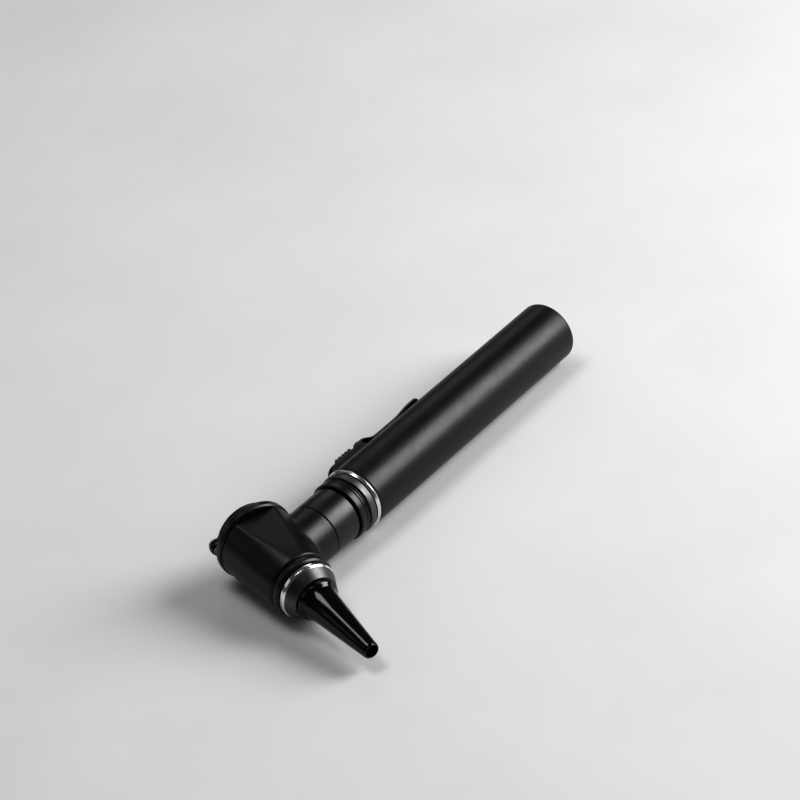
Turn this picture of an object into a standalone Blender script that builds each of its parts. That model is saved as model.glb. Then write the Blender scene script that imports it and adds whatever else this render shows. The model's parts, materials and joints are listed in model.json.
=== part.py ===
"""Pocket otoscope with a battery handle, lying on its side.

The instrument is laid out on two lines that cross at one point. The handle
line runs to +X, and the sight line runs from the lens on the +Y side to the
tip of the ear speculum on the -Y side. Everything hangs from one empty, which
puts the instrument in the pose that it takes on a flat surface: it touches
with the eyepiece rim, the front collar and the edge of the handle's end.
Lengths are in metres.
"""

import math

import bmesh
import bpy
from mathutils import Matrix, Vector

MM = 0.001
GAP = 0.3 * MM  # clearance between neighbouring pieces
OVERSHOOT = 1 * MM  # how far a cutter passes the face that it cuts

# Driving dimensions
SIGHT_LEAN = math.radians(18.5)  # of the sight line from square to the handle
HANDLE_RADIUS = 10 * MM
NECK_RADIUS = 8.9 * MM
MOUTH = 36.9 * MM  # along the handle line, from the crossing point
HANDLE_END = 138.5 * MM
END_WALL = 2.4 * MM
CELL_RADIUS = 7.1 * MM
CELL_LENGTH = 50.5 * MM  # size AA, with its nub
BORE_RADIUS = 7.6 * MM
RIM_RADIUS = 12.7 * MM
RIM_REAR = -15 * MM  # along the sight line, from the crossing point
SHELL_REAR = -12 * MM
SHELL_FRONT = 11.2 * MM
SHELL_REAR_RADIUS = 12.3 * MM
SHELL_FRONT_RADIUS = 10.1 * MM
CHEEK = 10.3 * MM  # from the sight line to each flat side of the head
FLANGE_RADIUS = 9.3 * MM
FLANGE_REAR = 14.3 * MM
SPECULUM_BASE = 19.9 * MM
SPECULUM_TIP = 48 * MM
TIP_RADIUS = 2.6 * MM
LENS_PIVOT_RADIUS = 10.6 * MM
SLIDER_TRAVEL = 4 * MM

FINE = 40  # sides of the outer round pieces
COARSE = 24  # sides of the inner ones


# Tools


def clear_scene():
    for obj in list(bpy.data.objects):
        bpy.data.objects.remove(obj)


def collection(name):
    made = bpy.data.collections.new(name)
    bpy.context.scene.collection.children.link(made)
    return made


def finish(name, color, roughness, metallic=0.0):
    made = bpy.data.materials.new(name)
    made.use_nodes = True
    shader = made.node_tree.nodes["Principled BSDF"]
    shader.inputs["Base Color"].default_value = (*color, 1)
    shader.inputs["Roughness"].default_value = roughness
    shader.inputs["Metallic"].default_value = metallic
    return made


def frame(name, parent, place=(0, 0, 0), turn=None):
    """An empty whose axes a group of pieces is drawn in."""
    made = bpy.data.objects.new(name, None)
    PARTS.objects.link(made)
    made.parent = parent
    made.matrix_local = Matrix.Translation(place) @ (turn or Matrix()).to_4x4()
    return made


def axes(x, y, z):
    return Matrix((x, y, z)).transposed()


def piece(name, data, parent, material):
    made = bpy.data.objects.new(name, data)
    PARTS.objects.link(made)
    made.parent = parent
    data.materials.append(material)
    return made


def cutter(name, data, parent):
    made = bpy.data.objects.new(name, data)
    CUTTERS.objects.link(made)
    made.parent = parent
    made.hide_render = True
    made.display_type = "WIRE"
    return made


def mesh_of(bm, name):
    mesh = bpy.data.meshes.new(name)
    bm.to_mesh(mesh)
    bm.free()
    return mesh


def box_mesh(name, low, high):
    bm = bmesh.new()
    bmesh.ops.create_cube(bm, size=1)
    low, high = Vector(low), Vector(high)
    bmesh.ops.scale(bm, vec=high - low, verts=bm.verts)
    bmesh.ops.translate(bm, vec=(low + high) / 2, verts=bm.verts)
    return mesh_of(bm, name)


def rod_mesh(name, radius, bottom, top, x=0.0, y=0.0, sides=COARSE):
    """A cylinder along Z."""
    bm = bmesh.new()
    bmesh.ops.create_cone(
        bm, cap_ends=True, segments=sides, radius1=radius, radius2=radius, depth=top - bottom
    )
    bmesh.ops.translate(bm, vec=(x, y, (bottom + top) / 2), verts=bm.verts)
    return mesh_of(bm, name)


def spin(obj, sides):
    turn = obj.modifiers.new("turn", "SCREW")
    turn.steps = turn.render_steps = sides
    turn.use_merge_vertices = True
    turn.merge_threshold = 0.00001
    turn.use_smooth_shade = True


def outline_mesh(name, outline):
    """The half section of a turned piece: (radius, height) points, in either direction round it."""
    area = sum(
        a[0] * b[1] - b[0] * a[1] for a, b in zip(outline, outline[1:] + outline[:1])
    )
    points = outline if area < 0 else outline[::-1]
    bm = bmesh.new()
    verts = [bm.verts.new((radius, 0, height)) for radius, height in points]
    for a, b in zip(verts, verts[1:] + verts[:1]):
        if a.co.x or b.co.x:
            bm.edges.new((a, b))
    return mesh_of(bm, name)


def turned(name, outline, parent, material, sides=COARSE):
    made = piece(name, outline_mesh(name, outline), parent, material)
    spin(made, sides)
    return made


def turned_cutter(name, outline, parent, sides=COARSE):
    made = cutter(name, outline_mesh(name, outline), parent)
    spin(made, sides)
    return made


def combine(obj, other, operation="DIFFERENCE"):
    step = obj.modifiers.new(other.name, "BOOLEAN")
    step.operation = operation
    step.object = other


def flat(name, outline, width, parent, material):
    """A 2D outline in the XY plane of its parent, made width thick across it."""
    curve = bpy.data.curves.new(name, "CURVE")
    curve.dimensions = "2D"
    curve.fill_mode = "BOTH"
    curve.extrude = width / 2
    line = curve.splines.new("POLY")
    line.points.add(len(outline) - 1)
    for point, (x, y) in zip(line.points, outline):
        point.co = (x, y, 0, 1)
    line.use_cyclic_u = True
    return piece(name, curve, parent, material)


def to_mesh(obj):
    """Swaps a curve for its mesh, so that a Boolean can cut it."""
    bpy.context.view_layer.update()
    graph = bpy.context.evaluated_depsgraph_get()
    solid = bpy.data.meshes.new_from_object(obj.evaluated_get(graph))
    bm = bmesh.new()
    bm.from_mesh(solid)
    bmesh.ops.remove_doubles(bm, verts=bm.verts, dist=0.000001)
    bmesh.ops.recalc_face_normals(bm, faces=bm.faces)
    bm.to_mesh(solid)
    bm.free()
    name, parent = obj.name, obj.parent
    bpy.data.objects.remove(obj)
    made = bpy.data.objects.new(name, solid)
    PARTS.objects.link(made)
    made.parent = parent
    return made


def strip_outline(path, thickness):
    """The outline of a bent strip whose middle follows the path."""
    path = [Vector(point) for point in path]
    sides = []
    for i, point in enumerate(path):
        along = (path[min(i + 1, len(path) - 1)] - path[max(i - 1, 0)]).normalized()
        sides.append(Vector((-along.y, along.x)) * thickness / 2)
    upper = [tuple(point + side) for point, side in zip(path, sides)]
    lower = [tuple(point - side) for point, side in zip(path, sides)]
    return upper + lower[::-1]


def arc(centre, radius, start, end, steps):
    turns = [math.radians(start + (end - start) * i / steps) for i in range(steps + 1)]
    return [(centre[0] + radius * math.cos(t), centre[1] + radius * math.sin(t)) for t in turns]


def tube_along(name, points, radius, parent, material):
    """A wire or a bundle along a list of points."""
    curve = bpy.data.curves.new(name, "CURVE")
    curve.dimensions = "3D"
    curve.bevel_depth = radius
    curve.bevel_resolution = 2
    curve.use_fill_caps = True
    line = curve.splines.new("POLY")
    line.points.add(len(points) - 1)
    for point, place in zip(line.points, points):
        point.co = (*place, 1)
    return piece(name, curve, parent, material)


def coil(start, end, start_radius, end_radius, turns, per_turn=10):
    """Points of a helix along Z."""
    count = round(turns * per_turn)
    points = []
    for i in range(count + 1):
        share = i / count
        radius = start_radius + (end_radius - start_radius) * share
        angle = 2 * math.pi * turns * share
        height = start + (end - start) * share
        points.append((radius * math.cos(angle), radius * math.sin(angle), height))
    return points


clear_scene()
PARTS = collection("otoscope")
CUTTERS = collection("cutters")

BLACK_MATT = finish("black_matt", (0.018, 0.018, 0.02), 0.5)
BLACK_GLOSS = finish("black_gloss", (0.012, 0.012, 0.013), 0.25)
CHROME = finish("chrome", (0.8, 0.8, 0.82), 0.08, 1)
SATIN = finish("satin_metal", (0.42, 0.42, 0.43), 0.4, 1)
BRASS = finish("brass", (0.75, 0.55, 0.25), 0.3, 1)
SPRING_STEEL = finish("spring_steel", (0.6, 0.6, 0.62), 0.3, 1)
GLASS = finish("glass", (0.9, 0.95, 0.95), 0.03)
INSULATOR = finish("insulator", (0.75, 0.73, 0.66), 0.5)
CELL_JACKET = finish("cell_jacket", (0.1, 0.22, 0.38), 0.35)
FIBRE = finish("fibre", (0.85, 0.85, 0.8), 0.3)

SIGHT = Vector((-math.sin(SIGHT_LEAN), -math.cos(SIGHT_LEAN), 0))
TOWARD_HANDLE = Vector((math.cos(SIGHT_LEAN), -math.sin(SIGHT_LEAN), 0))
UP = Vector((0, 0, 1))

instrument = frame("instrument", None)
handle_line = frame("handle_line", instrument, turn=axes((0, 1, 0), (0, 0, 1), (1, 0, 0)))
head_joint = frame("head_joint", instrument)
neck_line = frame("neck_line", head_joint, turn=axes((0, 1, 0), (0, 0, 1), (1, 0, 0)))
sight_line = frame("sight_line", head_joint, turn=axes(TOWARD_HANDLE, UP, SIGHT))


# Handle: the tube, its mouth ferrule, and the battery circuit inside

EDGE_ROUND = 1.2 * MM
FERRULE_BORE = 8.4 * MM
FERRULE_SLEEVE = 8.95 * MM
FERRULE_RADIUS = 10.15 * MM
FERRULE_FRONT = 35.1 * MM
SLEEVE_END = 42.2 * MM
GROOVE_TOP = 8.9 * MM  # of the groove for the contact strip, from the handle line
GROOVE_HALF = 1.9 * MM
WINDOW = (42.7 * MM, 49.8 * MM)  # along the handle, for the slider's peg
WINDOW_HALF = 1.7 * MM
INNER_END = HANDLE_END - END_WALL


def handle_tube():
    seat = FERRULE_SLEEVE + GAP
    outline = [
        (HANDLE_RADIUS, MOUTH),
        *arc((HANDLE_RADIUS - EDGE_ROUND, HANDLE_END - EDGE_ROUND), EDGE_ROUND, 0, 90, 4),
        (0, HANDLE_END),
        (0, INNER_END),
        (BORE_RADIUS, INNER_END),
        (BORE_RADIUS, SLEEVE_END + GAP),
        (seat, SLEEVE_END + GAP),
        (seat, MOUTH),
    ]
    made = turned("handle_tube", outline, handle_line, BLACK_MATT, FINE)
    groove = box_mesh(
        "strip_groove",
        (WINDOW[0], BORE_RADIUS - OVERSHOOT, -GROOVE_HALF),
        (INNER_END - GAP / 3, GROOVE_TOP, GROOVE_HALF),
    )
    combine(made, cutter("strip_groove", groove, instrument))
    combine(made, cutter("tube_window", window_mesh("tube_window"), instrument))


def window_mesh(name):
    low = (WINDOW[0], BORE_RADIUS, -WINDOW_HALF)
    high = (WINDOW[1], HOUSING_TOP + OVERSHOOT, WINDOW_HALF)
    return box_mesh(name, low, high)


def mouth_ferrule():
    outline = [
        (FERRULE_RADIUS - 0.3 * MM, FERRULE_FRONT),
        (FERRULE_RADIUS, FERRULE_FRONT + 0.3 * MM),
        (FERRULE_RADIUS, MOUTH - GAP - 0.3 * MM),
        (FERRULE_RADIUS - 0.3 * MM, MOUTH - GAP),
        (FERRULE_SLEEVE, MOUTH - GAP),
        (FERRULE_SLEEVE, SLEEVE_END),
        (FERRULE_BORE, SLEEVE_END),
        (FERRULE_BORE, FERRULE_FRONT),
    ]
    return turned("mouth_ferrule", outline, handle_line, CHROME, FINE)


SPRING_ROOM = 4.6 * MM
SPRING_WIRE = 0.4 * MM
CUP_THICKNESS = 0.8 * MM
CUP_RADIUS = 6.3 * MM
STRIP_THICKNESS = 0.35 * MM
STRIP_FOOT = INNER_END - GAP - STRIP_THICKNESS
CUP_REAR = STRIP_FOOT - GAP
CELL_END = CUP_REAR - CUP_THICKNESS - SPRING_ROOM
NUB_RADIUS = 2.7 * MM
NUB_HEIGHT = 1.2 * MM
CELL_CREST = 0.6 * MM


def cell(name, end):
    """An AA cell that ends, with its flat pole, at this place along the handle."""
    front = end - CELL_LENGTH
    shoulder = front + NUB_HEIGHT
    outline = [
        (0, front),
        (NUB_RADIUS, front),
        (NUB_RADIUS, shoulder),
        (CELL_RADIUS - CELL_CREST, shoulder),
        (CELL_RADIUS, shoulder + CELL_CREST),
        (CELL_RADIUS, end - CELL_CREST),
        (CELL_RADIUS - CELL_CREST, end),
        (0, end),
    ]
    return turned(name, outline, handle_line, CELL_JACKET)


def tail_spring():
    start = CELL_END + GAP + SPRING_WIRE
    end = CUP_REAR - CUP_THICKNESS - GAP - SPRING_WIRE
    points = coil(start, end, 3.2 * MM, 5.2 * MM, 3.5)
    return tube_along("tail_spring", points, SPRING_WIRE, handle_line, SPRING_STEEL)


def spring_cup():
    wall = 0.5 * MM
    rear = CUP_REAR
    face = CUP_REAR - CUP_THICKNESS
    rim = face - 1.4 * MM
    outline = [
        (0, rear),
        (CUP_RADIUS, rear),
        (CUP_RADIUS, rim),
        (CUP_RADIUS - wall, rim),
        (CUP_RADIUS - wall, face),
        (0, face),
    ]
    return turned("spring_cup", outline, handle_line, BRASS)


STRIP_OUT = 8.6 * MM
STRIP_START = 50.4 * MM


def contact_strip():
    inner = STRIP_OUT - STRIP_THICKNESS
    foot_low = -3 * MM
    outline = [
        (STRIP_START, STRIP_OUT),
        (STRIP_START, inner),
        (STRIP_FOOT, inner),
        (STRIP_FOOT, foot_low),
        (STRIP_FOOT + STRIP_THICKNESS, foot_low),
        (STRIP_FOOT + STRIP_THICKNESS, STRIP_OUT),
    ]
    return flat("contact_strip", outline, 3 * MM, instrument, BRASS)


# Handle: the switch housing, the slider and the pocket clip

HOUSING = (38.4 * MM, 56.4 * MM)
HOUSING_HALF = 4.5 * MM
HOUSING_TOP = 12.2 * MM
POCKET = (40.2 * MM, 52.4 * MM)
POCKET_HALF = 3.2 * MM
POCKET_FLOOR = 11.2 * MM
SLIDER = (44.2 * MM, 52.0 * MM)
SLIDER_HALF = 2.9 * MM
SLIDER_TOP = 14.2 * MM
PEG = (47.0 * MM, 49.4 * MM)
PEG_HALF = 1.4 * MM
LEAF_TOP = STRIP_OUT - STRIP_THICKNESS - GAP
LEAF_THICKNESS = 0.3 * MM
FOOT = (53.1 * MM, 56.4 * MM)
CLIP_THICKNESS = 0.8 * MM
CLIP_HALF = 3.4 * MM
CLIP_LOW = HOUSING_TOP + GAP
CLIP_MID = CLIP_LOW + CLIP_THICKNESS / 2
RIVET_PLACE = 54.8 * MM  # along the handle
RIVET_OFFSETS = (1.8 * MM, -1.8 * MM)  # across the clip
RIVET_RADIUS = 0.8 * MM
RIVET_HEAD = 1.4 * MM
RIVET_END = HANDLE_RADIUS + 0.7 * MM
BEND = FOOT[1] + GAP
CLIP_DROP = 3.8 * MM  # length over which the strip comes down to the handle
CLIP_REST = HANDLE_RADIUS + GAP + CLIP_THICKNESS / 2
LIP = (70 * MM, 80 * MM)
LIP_RISE = 1 * MM
CLIP_TIP = 84.4 * MM
TIP_ROUND = 3.5 * MM


def switch_housing():
    low = (HOUSING[0], HANDLE_RADIUS - 1.6 * MM, -HOUSING_HALF)
    high = (HOUSING[1], HOUSING_TOP, HOUSING_HALF)
    made = piece("switch_housing", box_mesh("switch_housing", low, high), instrument, BLACK_MATT)
    edges = made.modifiers.new("edges", "BEVEL")
    edges.width = 0.7 * MM
    edges.segments = 2
    ends = (HOUSING[0] - OVERSHOOT, HOUSING[1] + OVERSHOOT)
    saddle = rod_mesh("saddle", HANDLE_RADIUS + GAP / 2, *ends, sides=2 * FINE)
    combine(made, cutter("saddle", saddle, handle_line))
    pocket = box_mesh(
        "slider_pocket",
        (POCKET[0], POCKET_FLOOR, -POCKET_HALF),
        (POCKET[1], HOUSING_TOP + OVERSHOOT, POCKET_HALF),
    )
    combine(made, cutter("slider_pocket", pocket, instrument))
    combine(made, cutter("housing_window", window_mesh("housing_window"), instrument))
    for line in rivet_lines:
        name = f"housing_hole_{line.name}"
        hole = rod_mesh(name, RIVET_RADIUS + GAP / 2, RIVET_END - GAP, HOUSING_TOP + OVERSHOOT)
        combine(made, cutter(name, hole, line))
    return made


RIBS = 5
RIB_DEPTH = 0.5 * MM


def switch_slider():
    """A ribbed button, with a peg that reaches through the wall of the handle."""
    bottom = POCKET_FLOOR + GAP
    pitch = (SLIDER[1] - SLIDER[0]) / RIBS
    top = []
    for i in range(RIBS):
        start = SLIDER[0] + i * pitch
        top += [
            (start + 0.1 * pitch, SLIDER_TOP - RIB_DEPTH),
            (start + 0.3 * pitch, SLIDER_TOP),
            (start + 0.7 * pitch, SLIDER_TOP),
            (start + 0.9 * pitch, SLIDER_TOP - RIB_DEPTH),
        ]
    outline = [(SLIDER[0], bottom), *top, (SLIDER[1], bottom)]
    made = to_mesh(flat("switch_slider", outline, 2 * SLIDER_HALF, slider_track, BLACK_GLOSS))
    low = (PEG[0], LEAF_TOP + GAP, -PEG_HALF)
    high = (PEG[1], bottom + OVERSHOOT, PEG_HALF)
    combine(made, cutter("peg", box_mesh("peg", low, high), slider_track), "UNION")
    return made


def switch_contact():
    """The leaf under the slider, which reaches the ferrule's sleeve when it is pushed forward."""
    start = SLEEVE_END + GAP * 3 + SLIDER_TRAVEL
    end = STRIP_START + 2.4 * MM
    low = (start, LEAF_TOP - LEAF_THICKNESS, -PEG_HALF + 0.1 * MM)
    high = (end, LEAF_TOP, PEG_HALF - 0.1 * MM)
    return piece("switch_contact", box_mesh("switch_contact", low, high), slider_track, BRASS)


def clip_foot():
    outline = [
        (FOOT[0], CLIP_LOW),
        (FOOT[0], CLIP_LOW + CLIP_THICKNESS),
        (FOOT[1], CLIP_LOW + CLIP_THICKNESS),
        (FOOT[1], CLIP_LOW),
    ]
    made = to_mesh(flat("clip_foot", outline, 2 * CLIP_HALF, instrument, BLACK_GLOSS))
    above = CLIP_LOW + CLIP_THICKNESS + OVERSHOOT
    for line in rivet_lines:
        name = f"foot_hole_{line.name}"
        hole = rod_mesh(name, RIVET_RADIUS + GAP / 2, HOUSING_TOP, above)
        combine(made, cutter(name, hole, line))
    return made


def ease(share):
    """0 before the start, 1 after the end, and a smooth step between them."""
    share = min(max(share, 0), 1)
    return share * share * (3 - 2 * share)


def clip_height(x):
    """Of the middle of the strip above the handle line."""
    drop = ease((x - BEND) / CLIP_DROP)
    lip = ease((x - LIP[0]) / (LIP[1] - LIP[0]))
    return CLIP_MID + (CLIP_REST - CLIP_MID) * drop + LIP_RISE * lip


def clip_arm():
    """The sprung part of the clip: it comes down to the handle, and its round tip stands off."""
    places = [BEND + CLIP_DROP * i / 6 for i in range(7)]
    places += [LIP[0] + (LIP[1] - LIP[0]) * i / 6 for i in range(7)]
    local = [(x - BEND, clip_height(x) - CLIP_MID) for x in (*places, CLIP_TIP)]
    outline = strip_outline(local, CLIP_THICKNESS)
    made = to_mesh(flat("clip_arm", outline, 2 * CLIP_HALF, clip_bend, BLACK_GLOSS))
    tip = cutter("tip_round", rod_mesh("tip_round", TIP_ROUND, 0, 2 * HANDLE_RADIUS, sides=FINE), tip_line)
    low = (BEND - OVERSHOOT, 0, -2 * CLIP_HALF)
    high = (CLIP_TIP - TIP_ROUND, 2 * HANDLE_RADIUS + OVERSHOOT, 2 * CLIP_HALF)
    combine(tip, cutter("tip_block", box_mesh("tip_block", low, high), instrument), "UNION")
    combine(made, tip, "INTERSECT")
    return made


def clip_rivet(name, line):
    face = CLIP_LOW + CLIP_THICKNESS + GAP / 2
    outline = [
        (0, face + 0.6 * MM),
        (RIVET_HEAD * 0.6, face + 0.5 * MM),
        (RIVET_HEAD, face + 0.15 * MM),
        (RIVET_HEAD, face),
        (RIVET_RADIUS, face),
        (RIVET_RADIUS, RIVET_END),
        (0, RIVET_END),
    ]
    return turned(name, outline, line, SPRING_STEEL, 16)


slider_track = frame("slider_track", instrument)
clip_bend = frame("clip_bend", instrument, (BEND, CLIP_MID, 0))
outward = axes((1, 0, 0), (0, 0, -1), (0, 1, 0))
tip_line = frame("tip_line", instrument, (CLIP_TIP - TIP_ROUND, 0, 0), outward)
rivet_lines = [
    frame(f"rivet_line_{i}", instrument, (RIVET_PLACE, 0, z), outward)
    for i, z in enumerate(RIVET_OFFSETS)
]


# Neck: rings, spigot, sleeve, and the lamp with its contacts

SPIGOT_FRONT = 12 * MM
SPIGOT_STEP = 21.7 * MM
SPIGOT_SHOULDER = 27.9 * MM
SPIGOT_NOSE_RADIUS = 6.3 * MM
SPIGOT_CORE_RADIUS = 7.2 * MM
THREAD_RADIUS = 8.1 * MM
THREAD_PITCH = 1.5 * MM
THREAD_TURNS = 4  # inside the ferrule, so the head comes free after them
SPIGOT_END = FERRULE_FRONT + THREAD_TURNS * THREAD_PITCH
THREAD_DEPTH = 0.35 * MM
CELL_SOCKET = 7.4 * MM
HOLDER_RADIUS = 5.1 * MM
NECK_FRONT = 17.2 * MM
NECK_REAR = 27.6 * MM
RING_BORE = THREAD_RADIUS + GAP
STUB_BORE = 6.6 * MM


def spigot():
    """The screwed end of the head. Its threads are drawn as rings."""
    threads = []
    start = FERRULE_FRONT + 1.2 * MM
    count = int((SPIGOT_END - 0.8 * MM - start) / THREAD_PITCH)
    for i in range(count):
        place = start + i * THREAD_PITCH
        threads += [
            (THREAD_RADIUS, place),
            (THREAD_RADIUS - THREAD_DEPTH, place + THREAD_PITCH / 2),
        ]
    outline = [
        (SPIGOT_NOSE_RADIUS, SPIGOT_FRONT),
        (SPIGOT_NOSE_RADIUS, SPIGOT_STEP),
        (SPIGOT_CORE_RADIUS, SPIGOT_STEP),
        (SPIGOT_CORE_RADIUS, SPIGOT_SHOULDER),
        (THREAD_RADIUS, SPIGOT_SHOULDER),
        *threads,
        (THREAD_RADIUS, SPIGOT_END - 0.3 * MM),
        (THREAD_RADIUS - 0.3 * MM, SPIGOT_END),
        (CELL_SOCKET, SPIGOT_END),
        (CELL_SOCKET, SPIGOT_SHOULDER + 1 * MM),
        (HOLDER_RADIUS + GAP, SPIGOT_SHOULDER + 1 * MM),
        (HOLDER_RADIUS + GAP, SPIGOT_FRONT),
    ]
    return turned("spigot", outline, neck_line, SATIN, COARSE)


SATIN_RING = (32.3 * MM, 34.8 * MM)
SATIN_RADIUS = 9.85 * MM


def satin_ring():
    front, rear = SATIN_RING
    chamfer = 0.25 * MM
    outline = [
        (RING_BORE, front),
        (SATIN_RADIUS - chamfer, front),
        (SATIN_RADIUS, front + chamfer),
        (SATIN_RADIUS, rear - chamfer),
        (SATIN_RADIUS - chamfer, rear),
        (RING_BORE, rear),
    ]
    return turned("satin_ring", outline, neck_line, SATIN, FINE)


GRIP_FRONT = 27.9 * MM
GRIP_REAR = 32 * MM
GRIP_RADIUS = 9.6 * MM
GRIP_GROOVE = 0.5 * MM


def grip_ring():
    """The black band at the foot of the neck, with two turned grooves."""
    length = GRIP_REAR - GRIP_FRONT
    chamfer = 0.3 * MM
    outline = [
        (RING_BORE, GRIP_FRONT),
        (GRIP_RADIUS - chamfer, GRIP_FRONT),
        (GRIP_RADIUS, GRIP_FRONT + chamfer),
    ]
    for share in (0.36, 0.66):
        place = GRIP_FRONT + share * length
        outline += [
            (GRIP_RADIUS, place - GRIP_GROOVE / 2),
            (GRIP_RADIUS - GRIP_GROOVE, place - GRIP_GROOVE / 4),
            (GRIP_RADIUS - GRIP_GROOVE, place + GRIP_GROOVE / 4),
            (GRIP_RADIUS, place + GRIP_GROOVE / 2),
        ]
    outline += [
        (GRIP_RADIUS, GRIP_REAR - chamfer),
        (GRIP_RADIUS - chamfer, GRIP_REAR),
        (RING_BORE, GRIP_REAR),
    ]
    return turned("grip_ring", outline, neck_line, BLACK_GLOSS, FINE)


SCREW_PLACE = 19.5 * MM
SCREW_RADIUS = 1 * MM


def neck_sleeve():
    outline = [
        (NECK_RADIUS, NECK_FRONT),
        (NECK_RADIUS, NECK_REAR - 0.4 * MM),
        (NECK_RADIUS - 0.4 * MM, NECK_REAR),
        (SPIGOT_CORE_RADIUS + GAP, NECK_REAR),
        (SPIGOT_CORE_RADIUS + GAP, SPIGOT_STEP - GAP),
        (SPIGOT_NOSE_RADIUS + GAP, SPIGOT_STEP - GAP),
        (SPIGOT_NOSE_RADIUS + GAP, NECK_FRONT),
    ]
    made = turned("neck_sleeve", outline, neck_line, BLACK_GLOSS, FINE)
    hole = rod_mesh("screw_hole", SCREW_RADIUS + GAP, SPIGOT_NOSE_RADIUS, NECK_RADIUS + OVERSHOOT)
    combine(made, cutter("screw_hole", hole, screw_line))
    return made


def neck_screw():
    """A grub screw with a slot, which holds the sleeve on the spigot."""
    low = SPIGOT_NOSE_RADIUS + GAP
    high = NECK_RADIUS - 0.2 * MM
    body = rod_mesh("neck_screw", SCREW_RADIUS, low, high, sides=20)
    made = piece("neck_screw", body, screw_line, SPRING_STEEL)
    slot = box_mesh(
        "screw_slot",
        (-2 * SCREW_RADIUS, -0.2 * MM, high - 0.5 * MM),
        (2 * SCREW_RADIUS, 0.2 * MM, high + OVERSHOOT),
    )
    combine(made, cutter("screw_slot", slot, screw_line))
    return made


LAMP_TOP = 9.6 * MM
LAMP_RADIUS = 2.1 * MM
LAMP_BASE = (14.6 * MM, 21.4 * MM)
LAMP_BASE_RADIUS = 2.9 * MM
LAMP_FLANGE = (16.6 * MM, 17.6 * MM)
LAMP_FLANGE_RADIUS = 4 * MM
PIN_HEAD = 1.7 * MM
PIN_SHANK = 0.8 * MM
PIN_END = CELL_END - 2 * CELL_LENGTH - 2 * GAP
HOLDER = (14.4 * MM, PIN_END - 0.6 * MM)
SPRING_POCKET = 2.3 * MM


def lamp_bulb():
    dome = [
        (LAMP_RADIUS * math.sin(t), LAMP_TOP + LAMP_RADIUS * (1 - math.cos(t)))
        for t in (math.radians(15 * i) for i in range(7))
    ]
    outline = [*dome, (LAMP_RADIUS, LAMP_BASE[0] - GAP), (0, LAMP_BASE[0] - GAP)]
    return turned("lamp_bulb", outline, neck_line, GLASS, 20)


def lamp_base():
    outline = [
        (0, LAMP_BASE[0]),
        (LAMP_BASE_RADIUS, LAMP_BASE[0]),
        (LAMP_BASE_RADIUS, LAMP_FLANGE[0]),
        (LAMP_FLANGE_RADIUS, LAMP_FLANGE[0]),
        (LAMP_FLANGE_RADIUS, LAMP_FLANGE[1]),
        (LAMP_BASE_RADIUS, LAMP_FLANGE[1]),
        (LAMP_BASE_RADIUS, LAMP_BASE[1] - 0.8 * MM),
        (1.2 * MM, LAMP_BASE[1]),
        (0, LAMP_BASE[1]),
    ]
    return turned("lamp_base", outline, neck_line, BRASS, 24)


def lamp_holder():
    wide = LAMP_FLANGE_RADIUS + GAP
    narrow = LAMP_BASE_RADIUS + GAP
    seat = LAMP_FLANGE[1] + GAP
    outline = [
        (HOLDER_RADIUS, HOLDER[0]),
        (HOLDER_RADIUS, HOLDER[1]),
        (SPRING_POCKET, HOLDER[1]),
        (SPRING_POCKET, LAMP_BASE[1] + GAP),
        (narrow, LAMP_BASE[1] + GAP),
        (narrow, seat),
        (wide, seat),
        (wide, HOLDER[0]),
    ]
    return turned("lamp_holder", outline, neck_line, INSULATOR)


def contact_pin():
    shank_front = LAMP_BASE[1] + GAP
    head = 0.8 * MM
    outline = [
        (0, shank_front),
        (PIN_SHANK, shank_front),
        (PIN_SHANK, PIN_END - head),
        (PIN_HEAD, PIN_END - head),
        (PIN_HEAD, PIN_END - 0.3 * MM),
        (PIN_HEAD - 0.5 * MM, PIN_END),
        (0, PIN_END),
    ]
    return turned("contact_pin", outline, neck_line, BRASS, 20)


def contact_spring():
    wire = 0.22 * MM
    start = LAMP_BASE[1] + GAP + wire
    end = PIN_END - 0.8 * MM - GAP / 2 - wire
    points = coil(start, end, 1.4 * MM, 1.4 * MM, 4.5, 10)
    return tube_along("contact_spring", points, wire, neck_line, SPRING_STEEL)


screw_line = frame("screw_line", neck_line, (0, 0, SCREW_PLACE), axes((0, 0, 1), (-1, 0, 0), (0, -1, 0)))


# Head: shell, sight tube, light guide and the holder for specula

CHAMBER_REAR_RADIUS = 8.8 * MM
CHAMBER_FRONT_RADIUS = 8.3 * MM
COLLAR = (11.5 * MM, 14 * MM)
COLLAR_RADIUS = 9.9 * MM
HOLDER_SPIGOT = 8 * MM
HOLDER_INNER = 7 * MM
HOLDER_REAR = 6 * MM
HOLDER_STEP = (11.4 * MM, 12.6 * MM)  # where its bore narrows to the nose's
NOSE_BASE_RADIUS = 5.6 * MM
NOSE_TIP = 27 * MM
NOSE_TIP_RADIUS = 3.8 * MM
NOSE_BORE = 3.35 * MM
LIGHT_RADIUS = 3.1 * MM
LIGHT_BORE = 2.65 * MM
SIGHT_TUBE_RADIUS = 2.35 * MM
SIGHT_TUBE_BORE = 1.9 * MM
BAFFLE = (-7.2 * MM, -6.4 * MM)
BAFFLE_RADIUS = 8.5 * MM


def shell_radius(height):
    share = (height - SHELL_REAR) / (SHELL_FRONT - SHELL_REAR)
    return SHELL_REAR_RADIUS + (SHELL_FRONT_RADIUS - SHELL_REAR_RADIUS) * share


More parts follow.
